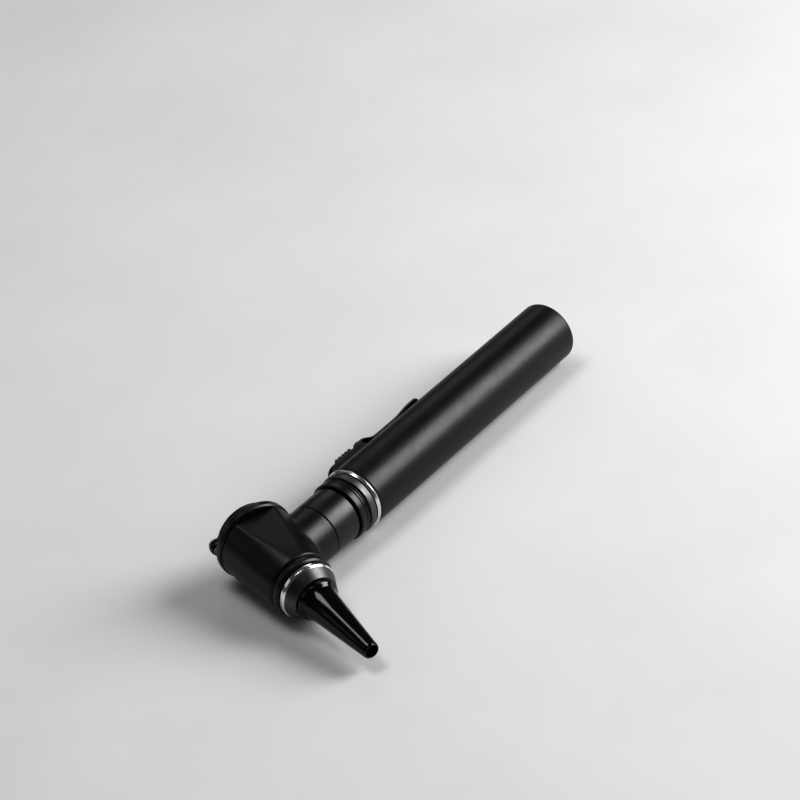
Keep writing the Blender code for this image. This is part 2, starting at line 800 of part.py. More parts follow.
def head_shell():
    """A cone on the sight line with two flat cheeks, and a short stub that takes the neck."""
    chamfer = 0.6 * MM
    outline = [
        (0, SHELL_REAR),
        (SHELL_REAR_RADIUS, SHELL_REAR),
        (shell_radius(SHELL_FRONT - chamfer), SHELL_FRONT - chamfer),
        (SHELL_FRONT_RADIUS - chamfer, SHELL_FRONT),
        (0, SHELL_FRONT),
    ]
    made = turned("head_shell", outline, sight_line, BLACK_MATT, FINE)
    for side in (-1, 1):
        low = (-2 * RIM_RADIUS, CHEEK, SHELL_REAR - OVERSHOOT)
        high = (2 * RIM_RADIUS, 2 * CHEEK, SHELL_FRONT + OVERSHOOT)
        cheek = cutter(f"cheek_{side}", box_mesh("cheek", low, high), sight_line)
        if side < 0:
            cheek.rotation_euler = (0, 0, math.pi)
        combine(made, cheek)
    stub = cutter("stub", rod_mesh("stub", NECK_RADIUS, 4 * MM, NECK_FRONT - GAP, sides=FINE), neck_line)
    rim_room = rod_mesh("rim_room", RIM_RADIUS + GAP, RIM_REAR - OVERSHOOT, SHELL_REAR + GAP, sides=FINE)
    combine(stub, cutter("rim_room", rim_room, sight_line))
    combine(made, stub, "UNION")
    chamber = [
        (0, SHELL_REAR - OVERSHOOT),
        (CHAMBER_REAR_RADIUS, SHELL_REAR - OVERSHOOT),
        (CHAMBER_FRONT_RADIUS, SHELL_FRONT + OVERSHOOT),
        (0, SHELL_FRONT + OVERSHOOT),
    ]
    combine(made, turned_cutter("chamber", chamber, sight_line))
    bore = rod_mesh("stub_bore", STUB_BORE, 2 * MM, NECK_FRONT + OVERSHOOT)
    combine(made, cutter("stub_bore", bore, neck_line))
    return made


def speculum_holder():
    """The chromed front of the head: a flange, a short cone and the nose that the speculum sits on."""
    shoulder = SPECULUM_BASE - GAP
    chamfer = 0.35 * MM
    outline = [
        (HOLDER_SPIGOT, HOLDER_REAR),
        (HOLDER_SPIGOT, FLANGE_REAR),
        (FLANGE_RADIUS - chamfer, FLANGE_REAR),
        (FLANGE_RADIUS, FLANGE_REAR + chamfer),
        (FLANGE_RADIUS, FLANGE_REAR + 1.5 * MM),
        (FLANGE_RADIUS - chamfer, FLANGE_REAR + 1.9 * MM),
        (7.2 * MM, shoulder),
        (NOSE_BASE_RADIUS, shoulder),
        (NOSE_BASE_RADIUS, shoulder + 1.6 * MM),
        (4.4 * MM, shoulder + 3.4 * MM),
        (NOSE_TIP_RADIUS, NOSE_TIP),
        (NOSE_BORE, NOSE_TIP),
        (NOSE_BORE, HOLDER_STEP[1]),
        (HOLDER_INNER, HOLDER_STEP[0]),
        (HOLDER_INNER, HOLDER_REAR),
    ]
    return turned("speculum_holder", outline, sight_line, CHROME, FINE)


def light_ring():
    """The ring of fibre ends round the sight tube, with the flange where the bundle joins it."""
    flange = (9.8 * MM, 10.8 * MM)
    flange_radius = 5.6 * MM
    outline = [
        (LIGHT_BORE, flange[0]),
        (flange_radius, flange[0]),
        (flange_radius, flange[1]),
        (LIGHT_RADIUS, flange[1] + 0.9 * MM),
        (LIGHT_RADIUS, NOSE_TIP + 0.2 * MM),
        (LIGHT_BORE, NOSE_TIP + 0.2 * MM),
    ]
    return turned("light_ring", outline, sight_line, FIBRE)


def sight_tube():
    """The blackened tube that the examiner looks through, with the baffle at its wide end."""
    mouth = 6 * MM
    waist = 6 * MM
    wall = 0.45 * MM
    outline = [
        (BAFFLE_RADIUS, BAFFLE[0]),
        (BAFFLE_RADIUS, BAFFLE[1]),
        (mouth + wall, BAFFLE[1]),
        (SIGHT_TUBE_RADIUS, waist),
        (SIGHT_TUBE_RADIUS, NOSE_TIP),
        (SIGHT_TUBE_BORE, NOSE_TIP),
        (SIGHT_TUBE_BORE, waist),
        (mouth, BAFFLE[0]),
    ]
    return turned("sight_tube", outline, sight_line, BLACK_MATT)


def fibre_bundle():
    """Carries the lamp's light round the sight tube to the light ring."""
    lamp_side, corner, light_side = Vector((9.2, 0)), Vector((6.9, 0)), Vector((1.35, -10))
    points = []
    for i in range(9):
        t = i / 8
        bend = (1 - t) ** 2 * lamp_side + 2 * t * (1 - t) * corner + t * t * light_side
        points.append((bend.x * MM, bend.y * MM, 0))
    return tube_along("fibre_bundle", points, 1.05 * MM, head_joint, FIBRE)


def front_collar():
    front, rear = COLLAR[1], COLLAR[0]
    outline = [
        (HOLDER_SPIGOT + GAP, rear),
        (COLLAR_RADIUS, rear),
        (COLLAR_RADIUS, front - 0.7 * MM),
        (COLLAR_RADIUS - 0.5 * MM, front),
        (HOLDER_SPIGOT + GAP, front),
    ]
    return turned("front_collar", outline, sight_line, BLACK_GLOSS, FINE)


def speculum():
    """A hollow cone that pushes over the nose."""
    wall = 0.75 * MM
    flare = 6.7 * MM
    throat = SPECULUM_BASE + 3.9 * MM
    throat_radius = 5.2 * MM
    outline = [
        (flare, SPECULUM_BASE),
        (flare, SPECULUM_BASE + 1.1 * MM),
        (5.75 * MM, SPECULUM_BASE + 2.1 * MM),
        (throat_radius, throat),
        (TIP_RADIUS + 0.15 * MM, SPECULUM_TIP - 0.6 * MM),
        (TIP_RADIUS - 0.1 * MM, SPECULUM_TIP),
        (TIP_RADIUS - wall + 0.1 * MM, SPECULUM_TIP),
        (TIP_RADIUS - wall, SPECULUM_TIP - 0.6 * MM),
        (throat_radius - wall, throat),
        (NOSE_BASE_RADIUS + GAP, SPECULUM_BASE + 1.6 * MM),
        (NOSE_BASE_RADIUS + GAP, SPECULUM_BASE),
    ]
    return turned("speculum", outline, speculum_track, BLACK_GLOSS, FINE)


speculum_track = frame("speculum_track", sight_line)


# Eyepiece: the rim, and the lens that swings aside on its pivot screw

WINDOW_RADIUS = 9.4 * MM
WASHER = (RIM_REAR - 0.6 * MM, RIM_REAR - 0.3 * MM)
FRAME_FRONT = RIM_REAR - 0.9 * MM
FRAME_REAR = RIM_REAR - 3.3 * MM
FRAME_RADIUS = 10.2 * MM
LUG_RADIUS = 2.4 * MM
LENS_RADIUS = 8.3 * MM
LENS_LIP = 7.8 * MM
LENS_FRONT = FRAME_FRONT - 0.5 * MM - GAP
LENS_EDGE = 1.1 * MM
PIVOT_RADIUS = 1 * MM
PIVOT_HEAD = 1.9 * MM


def eyepiece_rim():
    rounding = 0.8 * MM
    front = SHELL_REAR - GAP
    outline = [
        (WINDOW_RADIUS, RIM_REAR),
        *arc((RIM_RADIUS - rounding, RIM_REAR + rounding), rounding, -90, 0, 3),
        (RIM_RADIUS, front - 0.5 * MM),
        (RIM_RADIUS - 0.5 * MM, front),
        (WINDOW_RADIUS, front),
    ]
    made = turned("eyepiece_rim", outline, sight_line, BLACK_GLOSS, FINE)
    hole = rod_mesh("pivot_hole", PIVOT_RADIUS + GAP / 2, RIM_REAR - OVERSHOOT, RIM_REAR + 2 * MM)
    combine(made, cutter("pivot_hole", hole, pivot_line))
    return made


def lens_frame():
    made = piece(
        "lens_frame",
        rod_mesh("lens_frame", FRAME_RADIUS, FRAME_REAR, FRAME_FRONT, LENS_PIVOT_RADIUS, sides=FINE),
        lens_pivot,
        BLACK_GLOSS,
    )
    lug = rod_mesh("lug", LUG_RADIUS, FRAME_REAR, FRAME_FRONT, sides=24)
    combine(made, cutter("lug", lug, lens_pivot), "UNION")
    tab_place = 2 * LENS_PIVOT_RADIUS + GAP
    tab = rod_mesh("tab", LUG_RADIUS, FRAME_REAR, FRAME_FRONT, tab_place, sides=24)
    combine(made, cutter("tab", tab, lens_pivot), "UNION")
    groove = LENS_RADIUS + GAP
    lip = FRAME_FRONT - 0.5 * MM
    bore = [
        (0, FRAME_FRONT + OVERSHOOT),
        (LENS_LIP, FRAME_FRONT + OVERSHOOT),
        (LENS_LIP, lip),
        (groove, lip),
        (groove, FRAME_REAR - OVERSHOOT),
        (0, FRAME_REAR - OVERSHOOT),
    ]
    combine(made, turned_cutter("lens_seat", bore, lens_centre, FINE))
    hole = rod_mesh("lug_hole", PIVOT_RADIUS + GAP / 2, FRAME_REAR - OVERSHOOT, FRAME_FRONT + OVERSHOOT)
    combine(made, cutter("lug_hole", hole, lens_pivot))
    return made


def lens():
    """A magnifying lens, bowed on both faces."""
    front, rear = LENS_FRONT, LENS_FRONT - LENS_EDGE
    front_bow, rear_bow = 0.75 * MM, 0.45 * MM
    steps = 6
    shares = [i / steps for i in range(steps)]
    front_face = [(LENS_RADIUS * s, front + front_bow * (1 - s * s)) for s in shares]
    rear_face = [(LENS_RADIUS * s, rear - rear_bow * (1 - s * s)) for s in reversed(shares)]
    outline = [*front_face, (LENS_RADIUS, front), (LENS_RADIUS, rear), *rear_face]
    return turned("lens", outline, lens_centre, GLASS, 32)


def lens_retainer():
    front, rear = LENS_FRONT - LENS_EDGE - GAP, FRAME_REAR
    outline = [
        (LENS_LIP, front),
        (LENS_RADIUS, front),
        (LENS_RADIUS, rear),
        (LENS_LIP + 0.2 * MM, rear),
    ]
    return turned("lens_retainer", outline, lens_centre, SATIN, FINE)


def lens_washer():
    outline = [
        (PIVOT_RADIUS + GAP / 2, WASHER[0]),
        (LUG_RADIUS - 0.3 * MM, WASHER[0]),
        (LUG_RADIUS - 0.3 * MM, WASHER[1]),
        (PIVOT_RADIUS + GAP / 2, WASHER[1]),
    ]
    return turned("lens_washer", outline, pivot_line, SPRING_STEEL, 24)


def pivot_screw():
    head = FRAME_REAR - GAP
    outline = [
        (0, head - 0.8 * MM),
        (PIVOT_HEAD - 0.3 * MM, head - 0.8 * MM),
        (PIVOT_HEAD, head - 0.5 * MM),
        (PIVOT_HEAD, head),
        (PIVOT_RADIUS, head),
        (PIVOT_RADIUS, RIM_REAR + 1.7 * MM),
        (0, RIM_REAR + 1.7 * MM),
    ]
    made = turned("pivot_screw", outline, pivot_line, SPRING_STEEL, 24)
    slot = box_mesh(
        "pivot_slot",
        (-2 * PIVOT_HEAD, -0.25 * MM, head - 0.8 * MM - OVERSHOOT),
        (2 * PIVOT_HEAD, 0.25 * MM, head - 0.4 * MM),
    )
    combine(made, cutter("pivot_slot", slot, pivot_line))
    return made


pivot_line = frame("pivot_line", sight_line, (-LENS_PIVOT_RADIUS, 0, 0))
lens_pivot = frame("lens_pivot", sight_line, (-LENS_PIVOT_RADIUS, 0, 0))
lens_centre = frame("lens_centre", lens_pivot, (LENS_PIVOT_RADIUS, 0, 0))


# Assembly


def build():
    handle_tube()
    mouth_ferrule()
    cell("cell_rear", CELL_END)
    cell("cell_front", CELL_END - CELL_LENGTH - GAP)
    tail_spring()
    spring_cup()
    contact_strip()
    switch_housing()
    switch_slider()
    switch_contact()
    clip_foot()
    clip_arm()
    clip_rivet("clip_rivet_upper", rivet_lines[0])
    clip_rivet("clip_rivet_lower", rivet_lines[1])
    spigot()
    grip_ring()
    satin_ring()
    neck_sleeve()
    neck_screw()
    lamp_bulb()
    lamp_base()
    lamp_holder()
    contact_pin()
    contact_spring()
    head_shell()
    speculum_holder()
    light_ring()
    sight_tube()
    fibre_bundle()
    front_collar()
    speculum()
    eyepiece_rim()
    lens_frame()
    lens()
    lens_retainer()
    lens_washer()
    pivot_screw()


def resting_turn():
    """The turn that lays the rim, the front collar and the handle's end on one level plane."""
    circles = (
        (SIGHT * (RIM_REAR + 0.8 * MM), SIGHT, RIM_RADIUS),
        (SIGHT * (COLLAR[1] - 0.7 * MM), SIGHT, COLLAR_RADIUS),
        (Vector((HANDLE_END - EDGE_ROUND, 0, 0)), Vector((1, 0, 0)), HANDLE_RADIUS),
    )
    up = UP.copy()
    for _ in range(20):
        lowest = [
            centre - radius * (up - up.dot(axis) * axis).normalized()
            for centre, axis, radius in circles
        ]
        up = (lowest[2] - lowest[1]).cross(lowest[0] - lowest[1]).normalized()
        up = up if up.z > 0 else -up
    along = Vector((1, 0, 0))
    along = (along - along.dot(up) * up).normalized()
    return Matrix((along, up.cross(along), up))


def set_down():
    """Lays the instrument on the ground plane, with the middle of its footprint at the origin."""
    instrument.matrix_local = resting_turn().to_4x4()
    bpy.context.view_layer.update()
    graph = bpy.context.evaluated_depsgraph_get()
    corners = []
    for obj in PARTS.objects:
        if obj.type == "EMPTY":
            continue
        seen = obj.evaluated_get(graph)
        mesh = seen.to_mesh()
        corners += [obj.matrix_world @ vert.co for vert in mesh.vertices]
        seen.to_mesh_clear()
    low = [min(corner[i] for corner in corners) for i in range(3)]
    high = [max(corner[i] for corner in corners) for i in range(3)]
    instrument.location = (-(low[0] + high[0]) / 2, -(low[1] + high[1]) / 2, -low[2])
    bpy.context.view_layer.update()


build()
set_down()
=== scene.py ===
"""The looks of the pocket otoscope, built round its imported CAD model.

Every outer piece gets a fine mesh in place of its faceted CAD solid, and the
inner pieces keep their solids and take a material with detail. Lengths are in
metres, and places come from the frame's nodes and joints.
"""

import json
import math

import bmesh
import bpy
import numpy as np
from mathutils import Matrix, Vector


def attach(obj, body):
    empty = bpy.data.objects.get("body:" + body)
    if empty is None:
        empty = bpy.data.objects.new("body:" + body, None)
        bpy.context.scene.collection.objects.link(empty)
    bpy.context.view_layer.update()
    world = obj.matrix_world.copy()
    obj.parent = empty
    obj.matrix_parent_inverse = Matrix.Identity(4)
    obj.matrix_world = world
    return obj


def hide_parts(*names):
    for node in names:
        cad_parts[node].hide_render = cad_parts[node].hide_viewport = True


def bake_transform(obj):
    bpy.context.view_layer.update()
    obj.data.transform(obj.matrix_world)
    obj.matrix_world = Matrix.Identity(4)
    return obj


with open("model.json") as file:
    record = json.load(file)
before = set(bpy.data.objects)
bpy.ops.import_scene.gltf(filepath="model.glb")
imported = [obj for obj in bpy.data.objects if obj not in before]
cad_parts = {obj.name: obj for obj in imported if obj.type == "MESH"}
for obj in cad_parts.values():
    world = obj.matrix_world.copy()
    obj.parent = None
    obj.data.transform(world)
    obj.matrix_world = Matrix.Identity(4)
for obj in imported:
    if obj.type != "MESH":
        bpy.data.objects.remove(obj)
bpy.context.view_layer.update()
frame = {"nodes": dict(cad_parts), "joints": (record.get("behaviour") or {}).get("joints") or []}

MM = 0.001
NODES = frame["nodes"]
JOINTS = {joint["name"]: joint for joint in frame["joints"]}
FINE = 144  # sides of the outer round pieces
SMALL = 48  # sides of screws and rivets

# The instrument's own axes, read from its joints

CROSSING = Vector(JOINTS["head_turn"]["pos_m"])
ALONG = -Vector(JOINTS["head_turn"]["axis"]).normalized()
SIGHT = Vector(JOINTS["speculum_pull"]["axis"]).normalized()
UP = Vector(JOINTS["clip_flex"]["axis"]).normalized()
OUT = UP.cross(ALONG).normalized()
SIDE = UP.cross(SIGHT).normalized()


def line_frame(x, y, z, origin):
    turn = Matrix((x, y, z)).transposed().to_4x4()
    return Matrix.Translation(origin) @ turn


HANDLE_LINE = line_frame(OUT, UP, ALONG, CROSSING)
SIGHT_LINE = line_frame(SIDE, UP, SIGHT, CROSSING)
PLAN = line_frame(ALONG, OUT, UP, CROSSING)
PIVOT_LINE = line_frame(SIDE, UP, SIGHT, Vector(JOINTS["lens_swing"]["pos_m"]))


def local_points(node, line):
    mesh = NODES[node].data
    points = np.empty(len(mesh.vertices) * 3)
    mesh.vertices.foreach_get("co", points)
    inverse = np.array(line.inverted())
    return points.reshape(-1, 3) @ inverse[:3, :3].T + inverse[:3, 3]


def spans(node, line):
    """(first height, last height, inner radius, outer radius) of a CAD node about a line."""
    points = local_points(node, line)
    heights, radii = points[:, 2], np.hypot(points[:, 0], points[:, 1])
    return tuple(float(v) for v in (heights.min(), heights.max(), radii.min(), radii.max()))


def reach(node, line):
    """Lowest and highest corner of a CAD node in a line's own axes."""
    points = local_points(node, line)
    return Vector(points.min(axis=0)), Vector(points.max(axis=0))


# Mesh tools


def new_object(name, data):
    made = bpy.data.objects.new(name, data)
    bpy.context.scene.collection.objects.link(made)
    return made


def baked(obj):
    """The object with its modifiers applied."""
    bpy.context.view_layer.update()
    graph = bpy.context.evaluated_depsgraph_get()
    mesh = bpy.data.meshes.new_from_object(obj.evaluated_get(graph))
    obj.modifiers.clear()
    obj.data = mesh
    return obj


def smooth(obj, angle=35):
    obj.data.shade_smooth()
    obj.data.set_sharp_from_angle(angle=math.radians(angle))
    return obj


def arc(centre, radius, start, end, steps=8):
    turns = [math.radians(start + (end - start) * i / steps) for i in range(steps + 1)]
    return [(centre[0] + radius * math.cos(t), centre[1] + radius * math.sin(t)) for t in turns]


def rounded(outline, radius):
    """The outline with its corners rounded off, apart from those on the axis and the faint ones."""
    steps = 4  # straight pieces in each round corner
    least = 12  # degrees: a corner that turns less is left
    count = len(outline)
    points = [Vector(point) for point in outline]
    out = []
    for i, corner in enumerate(points):
        before = points[i - 1] - corner
        after = points[(i + 1) % count] - corner
        turn = math.pi - before.angle(after)
        on_axis = corner.x < 0.01 * MM
        if on_axis or math.degrees(turn) < least:
            out.append(tuple(corner))
            continue
        most = 0.45 * min(before.length, after.length)
        setback = min(radius * math.tan(turn / 2), most)
        start = corner + before.normalized() * setback
        end = corner + after.normalized() * setback
        for step in range(steps + 1):
            t = step / steps
            out.append(tuple((1 - t) ** 2 * start + 2 * t * (1 - t) * corner + t * t * end))
    return out


def turned(name, outline, line, edge=0.12 * MM, sides=FINE):
    """A turned solid: its half section, as (radius, height) points, is spun about the line."""
    area = sum(a[0] * b[1] - b[0] * a[1] for a, b in zip(outline, outline[1:] + outline[:1]))
    points = outline if area < 0 else outline[::-1]
    points = rounded(points, edge) if edge else points
    bm = bmesh.new()
    verts = [bm.verts.new((radius, 0, height)) for radius, height in points]
    for a, b in zip(verts, verts[1:] + verts[:1]):
        if a.co.x > 0 or b.co.x > 0:
            bm.edges.new((a, b))
    mesh = bpy.data.meshes.new(name)
    bm.to_mesh(mesh)
    bm.free()
    made = new_object(name, mesh)
    spin = made.modifiers.new("spin", "SCREW")
    spin.steps = spin.render_steps = sides
    spin.use_merge_vertices = True
    spin.merge_threshold = 0.002 * MM
    baked(made)
    made.data.transform(line)
    return smooth(made, 30)


def box(low, high, line):
    """A block to cut with."""
    bm = bmesh.new()
    bmesh.ops.create_cube(bm, size=1)
    low, high = Vector(low), Vector(high)
    bmesh.ops.scale(bm, vec=high - low, verts=bm.verts)
    bmesh.ops.translate(bm, vec=(low + high) / 2, verts=bm.verts)
    mesh = bpy.data.meshes.new("block")
    bm.to_mesh(mesh)
    bm.free()
    mesh.transform(line)
    return new_object("block", mesh)


def rod(radius, bottom, top, line):
    """A cylinder to cut with."""
    bm = bmesh.new()
    bmesh.ops.create_cone(
        bm, cap_ends=True, segments=SMALL, radius1=radius, radius2=radius, depth=top - bottom
    )
    bmesh.ops.translate(bm, vec=(0, 0, (bottom + top) / 2), verts=bm.verts)
    mesh = bpy.data.meshes.new("rod")
    bm.to_mesh(mesh)
    bm.free()
    mesh.transform(line)
    return new_object("rod", mesh)


def cut(obj, cutter):
    """Takes another solid out of the piece, and removes that solid."""
    step = obj.modifiers.new("step", "BOOLEAN")
    step.operation = "DIFFERENCE"
    step.object = cutter
    baked(obj)
    bpy.data.objects.remove(cutter)
    smooth(obj)


def smooth_max(a, b, width):
    """The larger of two distances, with a rounded edge where they meet."""
    share = np.maximum(width - np.abs(a - b), 0) / width
    return np.maximum(a, b) + share * share * width / 4


def smooth_min(a, b, width):
    return -smooth_max(-a, -b, width)


def slab(values, middle, half):
    """Distance outside a slab: negative between middle - half and middle + half."""
    return np.abs(values - middle) - half


def moulded_form(name, node, line, distance, voxel):
    """A fine skin for a CAD node: a remesh of its solid, with each point moved to distance 0."""
    made = new_object(name, NODES[node].data.copy())
    remesh = made.modifiers.new("remesh", "REMESH")
    remesh.mode = "VOXEL"
    remesh.voxel_size = voxel
    baked(made)
    mesh = made.data
    points = np.empty(len(mesh.vertices) * 3)
    mesh.vertices.foreach_get("co", points)
    into, out = np.array(line.inverted()), np.array(line)
    points = points.reshape(-1, 3) @ into[:3, :3].T + into[:3, 3]
    nudge = 0.01 * MM
    passes = 6
    flattest = 0.3  # least squared slope, so that a step stays short where faces meet
    for _ in range(passes):
        slope = np.stack(
            [
                (distance(points + step) - distance(points - step)) / (2 * nudge)
                for step in np.eye(3) * nudge
            ],
            axis=1,
        )
        squared = np.maximum((slope * slope).sum(axis=1), flattest)
        points -= slope * (distance(points) / squared)[:, None]
    points = points @ out[:3, :3].T + out[:3, 3]
    mesh.vertices.foreach_set("co", points.reshape(-1))
    mesh.update()
    mesh.shade_smooth()
    return made


def placed(obj, body, slot, material, *nodes):
    """Gives a finished piece its material and body, and hides the CAD nodes that it stands for. The
    slot argument is not used.
    """
    obj.data.materials.clear()
    obj.data.materials.append(material)
    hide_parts(*nodes)
    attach(obj, body)


# Materials


class Shading:
    """A short way to write a node tree round one Principled shader."""

    def __init__(self, name):
        self.material = bpy.data.materials.new(name)
        self.material.use_nodes = True
        self.tree = self.material.node_tree
        self.shader = self.tree.nodes["Principled BSDF"]
        self.place = self.tree.nodes.new("ShaderNodeTexCoord").outputs["Object"]
        self.normal = None

    def put(self, socket, value):
        if isinstance(value, bpy.types.NodeSocket):
            self.tree.links.new(value, socket)
        elif isinstance(value, tuple) and len(value) == 3 and socket.type == "RGBA":
            socket.default_value = (*value, 1)
        else:
            socket.default_value = value

    def set(self, **inputs):
        for key, value in inputs.items():
            self.put(self.shader.inputs[key.replace("_", " ")], value)
        return self

    def noise(self, size, detail=3.0, roughness=0.5, stretch=None):
        node = self.tree.nodes.new("ShaderNodeTexNoise")
        self.put(node.inputs["Scale"], 1 / size)
        self.put(node.inputs["Detail"], detail)
        self.put(node.inputs["Roughness"], roughness)
        self.put(node.inputs["Vector"], self.stretched(stretch) if stretch else self.place)
        return node.outputs["Fac"]

    def stretched(self, line):
        """Places in a line's own axes, drawn out ten times along the line."""
        node = self.tree.nodes.new("ShaderNodeMapping")
        node.vector_type = "TEXTURE"
        node.inputs["Rotation"].default_value = line.to_euler()
        node.inputs["Scale"].default_value = (1, 1, 10)
        self.put(node.inputs["Vector"], self.place)
        return node.outputs["Vector"]

    def along(self, axis):
        """Distance along an axis from the crossing point, in metres."""
        offset = self.tree.nodes.new("ShaderNodeVectorMath")
        offset.operation = "SUBTRACT"
        self.put(offset.inputs[0], self.place)
        offset.inputs[1].default_value = CROSSING
        dot = self.tree.nodes.new("ShaderNodeVectorMath")
        dot.operation = "DOT_PRODUCT"
        self.put(dot.inputs[0], offset.outputs["Vector"])
        dot.inputs[1].default_value = axis
        return dot.outputs["Value"]

    def rings(self, axis, size):
        """Noise that varies along one axis only, as turning marks do."""
        node = self.tree.nodes.new("ShaderNodeTexNoise")
        node.noise_dimensions = "1D"
        self.put(node.inputs["Scale"], 1 / size)
        self.put(node.inputs["Detail"], 4.0)
        self.put(node.inputs["W"], self.along(axis))
        return node.outputs["Fac"]

    def ramp(self, value, low, high, out_low=0.0, out_high=1.0):
        node = self.tree.nodes.new("ShaderNodeMapRange")
        self.put(node.inputs["Value"], value)
        names = ("From Min", "From Max", "To Min", "To Max")
        for key, number in zip(names, (low, high, out_low, out_high)):
            self.put(node.inputs[key], number)
        return node.outputs["Result"]

    def math(self, operation, a, b):
        node = self.tree.nodes.new("ShaderNodeMath")
        node.operation = operation
        self.put(node.inputs[0], a)
        self.put(node.inputs[1], b)
        return node.outputs["Value"]

    def mix(self, share, a, b):
        node = self.tree.nodes.new("ShaderNodeMix")
        node.data_type = "RGBA"
        self.put(node.inputs["Factor"], share)
        colours = [socket for socket in node.inputs if socket.type == "RGBA"]
        self.put(colours[0], a)
        self.put(colours[1], b)
        return next(socket for socket in node.outputs if socket.type == "RGBA")

    def bump(self, height, depth):
        node = self.tree.nodes.new("ShaderNodeBump")
        self.put(node.inputs["Distance"], depth)
        self.put(node.inputs["Height"], height)
        if self.normal:
            self.put(node.inputs["Normal"], self.normal)
        self.normal = node.outputs["Normal"]
        self.put(self.shader.inputs["Normal"], self.normal)
        return self

    def scuff_and_highlight_spots(self, axis, start, end):
        """Scuffed spots, faint at the start place along an axis and full at the end place; across the
        slider's rib tops they also carry a painted highlight.
        """
        near = self.ramp(self.along(axis), start, end)
        spots = self.ramp(self.noise(0.9 * MM, 6, 0.7), 0.5, 0.62)
        return self.math("MULTIPLY", near, spots)


CHROME = (0.8, 0.8, 0.82)


def black(
    name, tone, roughness, specular=0.5, grain=0.14 * MM, depth=0.006 * MM, edge=None, rubbed_and_highlight_tone=0.022
):
    """Black plastic or lacquer: fine grain, blotches in the gloss, smudges, and a rubbed edge of paler
    scuffed spots, which on the slider's rib tops are also a painted highlight.
    """
    s = Shading(name)
    blotch = s.noise(7 * MM, 4)
    smudge = s.noise(2.2 * MM, 6, 0.65)
    scratches = s.ramp(s.noise(0.25 * MM, 2, 0.5, HANDLE_LINE), 0.66, 0.74)
    deep = (tone, tone, tone * 1.08)
    worn = (tone * 1.7, tone * 1.7, tone * 1.75)
    color = s.mix(s.ramp(blotch, 0.35, 0.7), deep, worn)
    uneven = s.ramp(blotch, 0.3, 0.7, -0.025, 0.025)
    gloss = s.math("ADD", uneven, s.ramp(smudge, 0.4, 0.7, 0, 0.04))
    gloss = s.math("ADD", gloss, s.math("MULTIPLY", scratches, 0.08))
    if edge:
        # Paler spots towards the edge: wear, and on the slider's rib tops a painted highlight.
        rubbed_and_highlight = s.scuff_and_highlight_spots(*edge)
        color = s.mix(rubbed_and_highlight, color, (rubbed_and_highlight_tone,) * 3)
        gloss = s.math("SUBTRACT", gloss, s.math("MULTIPLY", rubbed_and_highlight, 0.08))
    s.set(Base_Color=color, Roughness=s.math("ADD", gloss, roughness))
    s.set(Specular_IOR_Level=specular)
    return s.bump(s.noise(grain, 2), depth).bump(smudge, 0.002 * MM).material


def turned_metal(
    name,
    color,
    roughness,
    axis,
    ring=0.09 * MM,
    depth=0.0015 * MM,
    tarnish=0.25,
    spotted=0.2,
    polished=None,
):
    """Turned metal: fine rings, haze and dark spots, and polish before a place along its axis."""
    s = Shading(name)
    haze = s.noise(3 * MM, 5, 0.6)
    spots = s.ramp(s.noise(0.7 * MM, 5, 0.7), 0.62, 0.75)
    dull = tuple((1 - tarnish) * c for c in color)
    base = s.mix(s.ramp(haze, 0.4, 0.7), color, dull)
    base = s.mix(s.math("MULTIPLY", spots, spotted), base, tuple(0.5 * c for c in color))
    gloss = s.math("ADD", s.ramp(haze, 0.35, 0.7, -0.03, 0.08), s.math("MULTIPLY", spots, 0.1))
    gloss = s.math("ADD", gloss, roughness)
    if polished:
        bright = s.ramp(s.along(axis), polished + 0.15 * MM, polished)
        base = s.mix(bright, base, CHROME)
        gloss = s.math("SUBTRACT", gloss, s.math("MULTIPLY", bright, 0.6 * roughness))
    s.set(Base_Color=base, Metallic=1.0, Roughness=gloss)
    return s.bump(s.rings(axis, ring), depth).material


def clear(name, tint):
    """Clear glass with dust and a faint smear."""
    s = Shading(name)
    dust = s.ramp(s.noise(0.5 * MM, 6, 0.7), 0.66, 0.75)
    smear = s.noise(4 * MM, 4)
    s.set(Base_Color=s.mix(s.math("MULTIPLY", dust, 0.3), tint, (0.7, 0.7, 0.68)))
    s.set(Roughness=s.math("ADD", s.ramp(smear, 0.5, 0.8, 0, 0.05), s.math("MULTIPLY", dust, 0.2)))
    return s.set(Transmission_Weight=1.0, IOR=1.5).material


def plain_moulding(name, color, roughness, grain, depth):
    """Pale or coloured moulding with fine grain and uneven tone."""
    s = Shading(name)
    tone = s.ramp(s.noise(1.5 * MM, 5, 0.6), 0.35, 0.7)
    s.set(Base_Color=s.mix(tone, color, tuple(0.78 * c for c in color)))
    s.set(Roughness=s.ramp(s.noise(2 * MM, 4), 0.3, 0.7, roughness - 0.07, roughness + 0.07))
    return s.bump(s.noise(grain, 2), depth).material


def fibre_ends(name):
    """Bundled optical fibre: small bright cores in a paler mass."""
    s = Shading(name)
    cores = s.tree.nodes.new("ShaderNodeTexVoronoi")
    s.put(cores.inputs["Scale"], 1 / (0.12 * MM))
    s.put(cores.inputs["Vector"], s.place)
    edge = s.ramp(cores.outputs["Distance"], 0.3, 0.6)
    s.set(Base_Color=s.mix(edge, (0.88, 0.88, 0.84), (0.4, 0.38, 0.32)))
    s.set(Roughness=s.ramp(edge, 0, 1, 0.12, 0.5))
    return s.bump(cores.outputs["Distance"], 0.01 * MM).material


HANDLE_END_EDGE = (ALONG, 136.5 * MM, 138.5 * MM)
# The slider's rib tops take a paler tone: scuffed spots, and a painted highlight along the top of the
# ribs.
SLIDER_TOP_WEAR_AND_HIGHLIGHT = (OUT, 13.7 * MM, 14.2 * MM)
CLIP_TIP_EDGE = (ALONG, 81 * MM, 84.4 * MM)
HOLDER_POLISH_END = 16.2 * MM

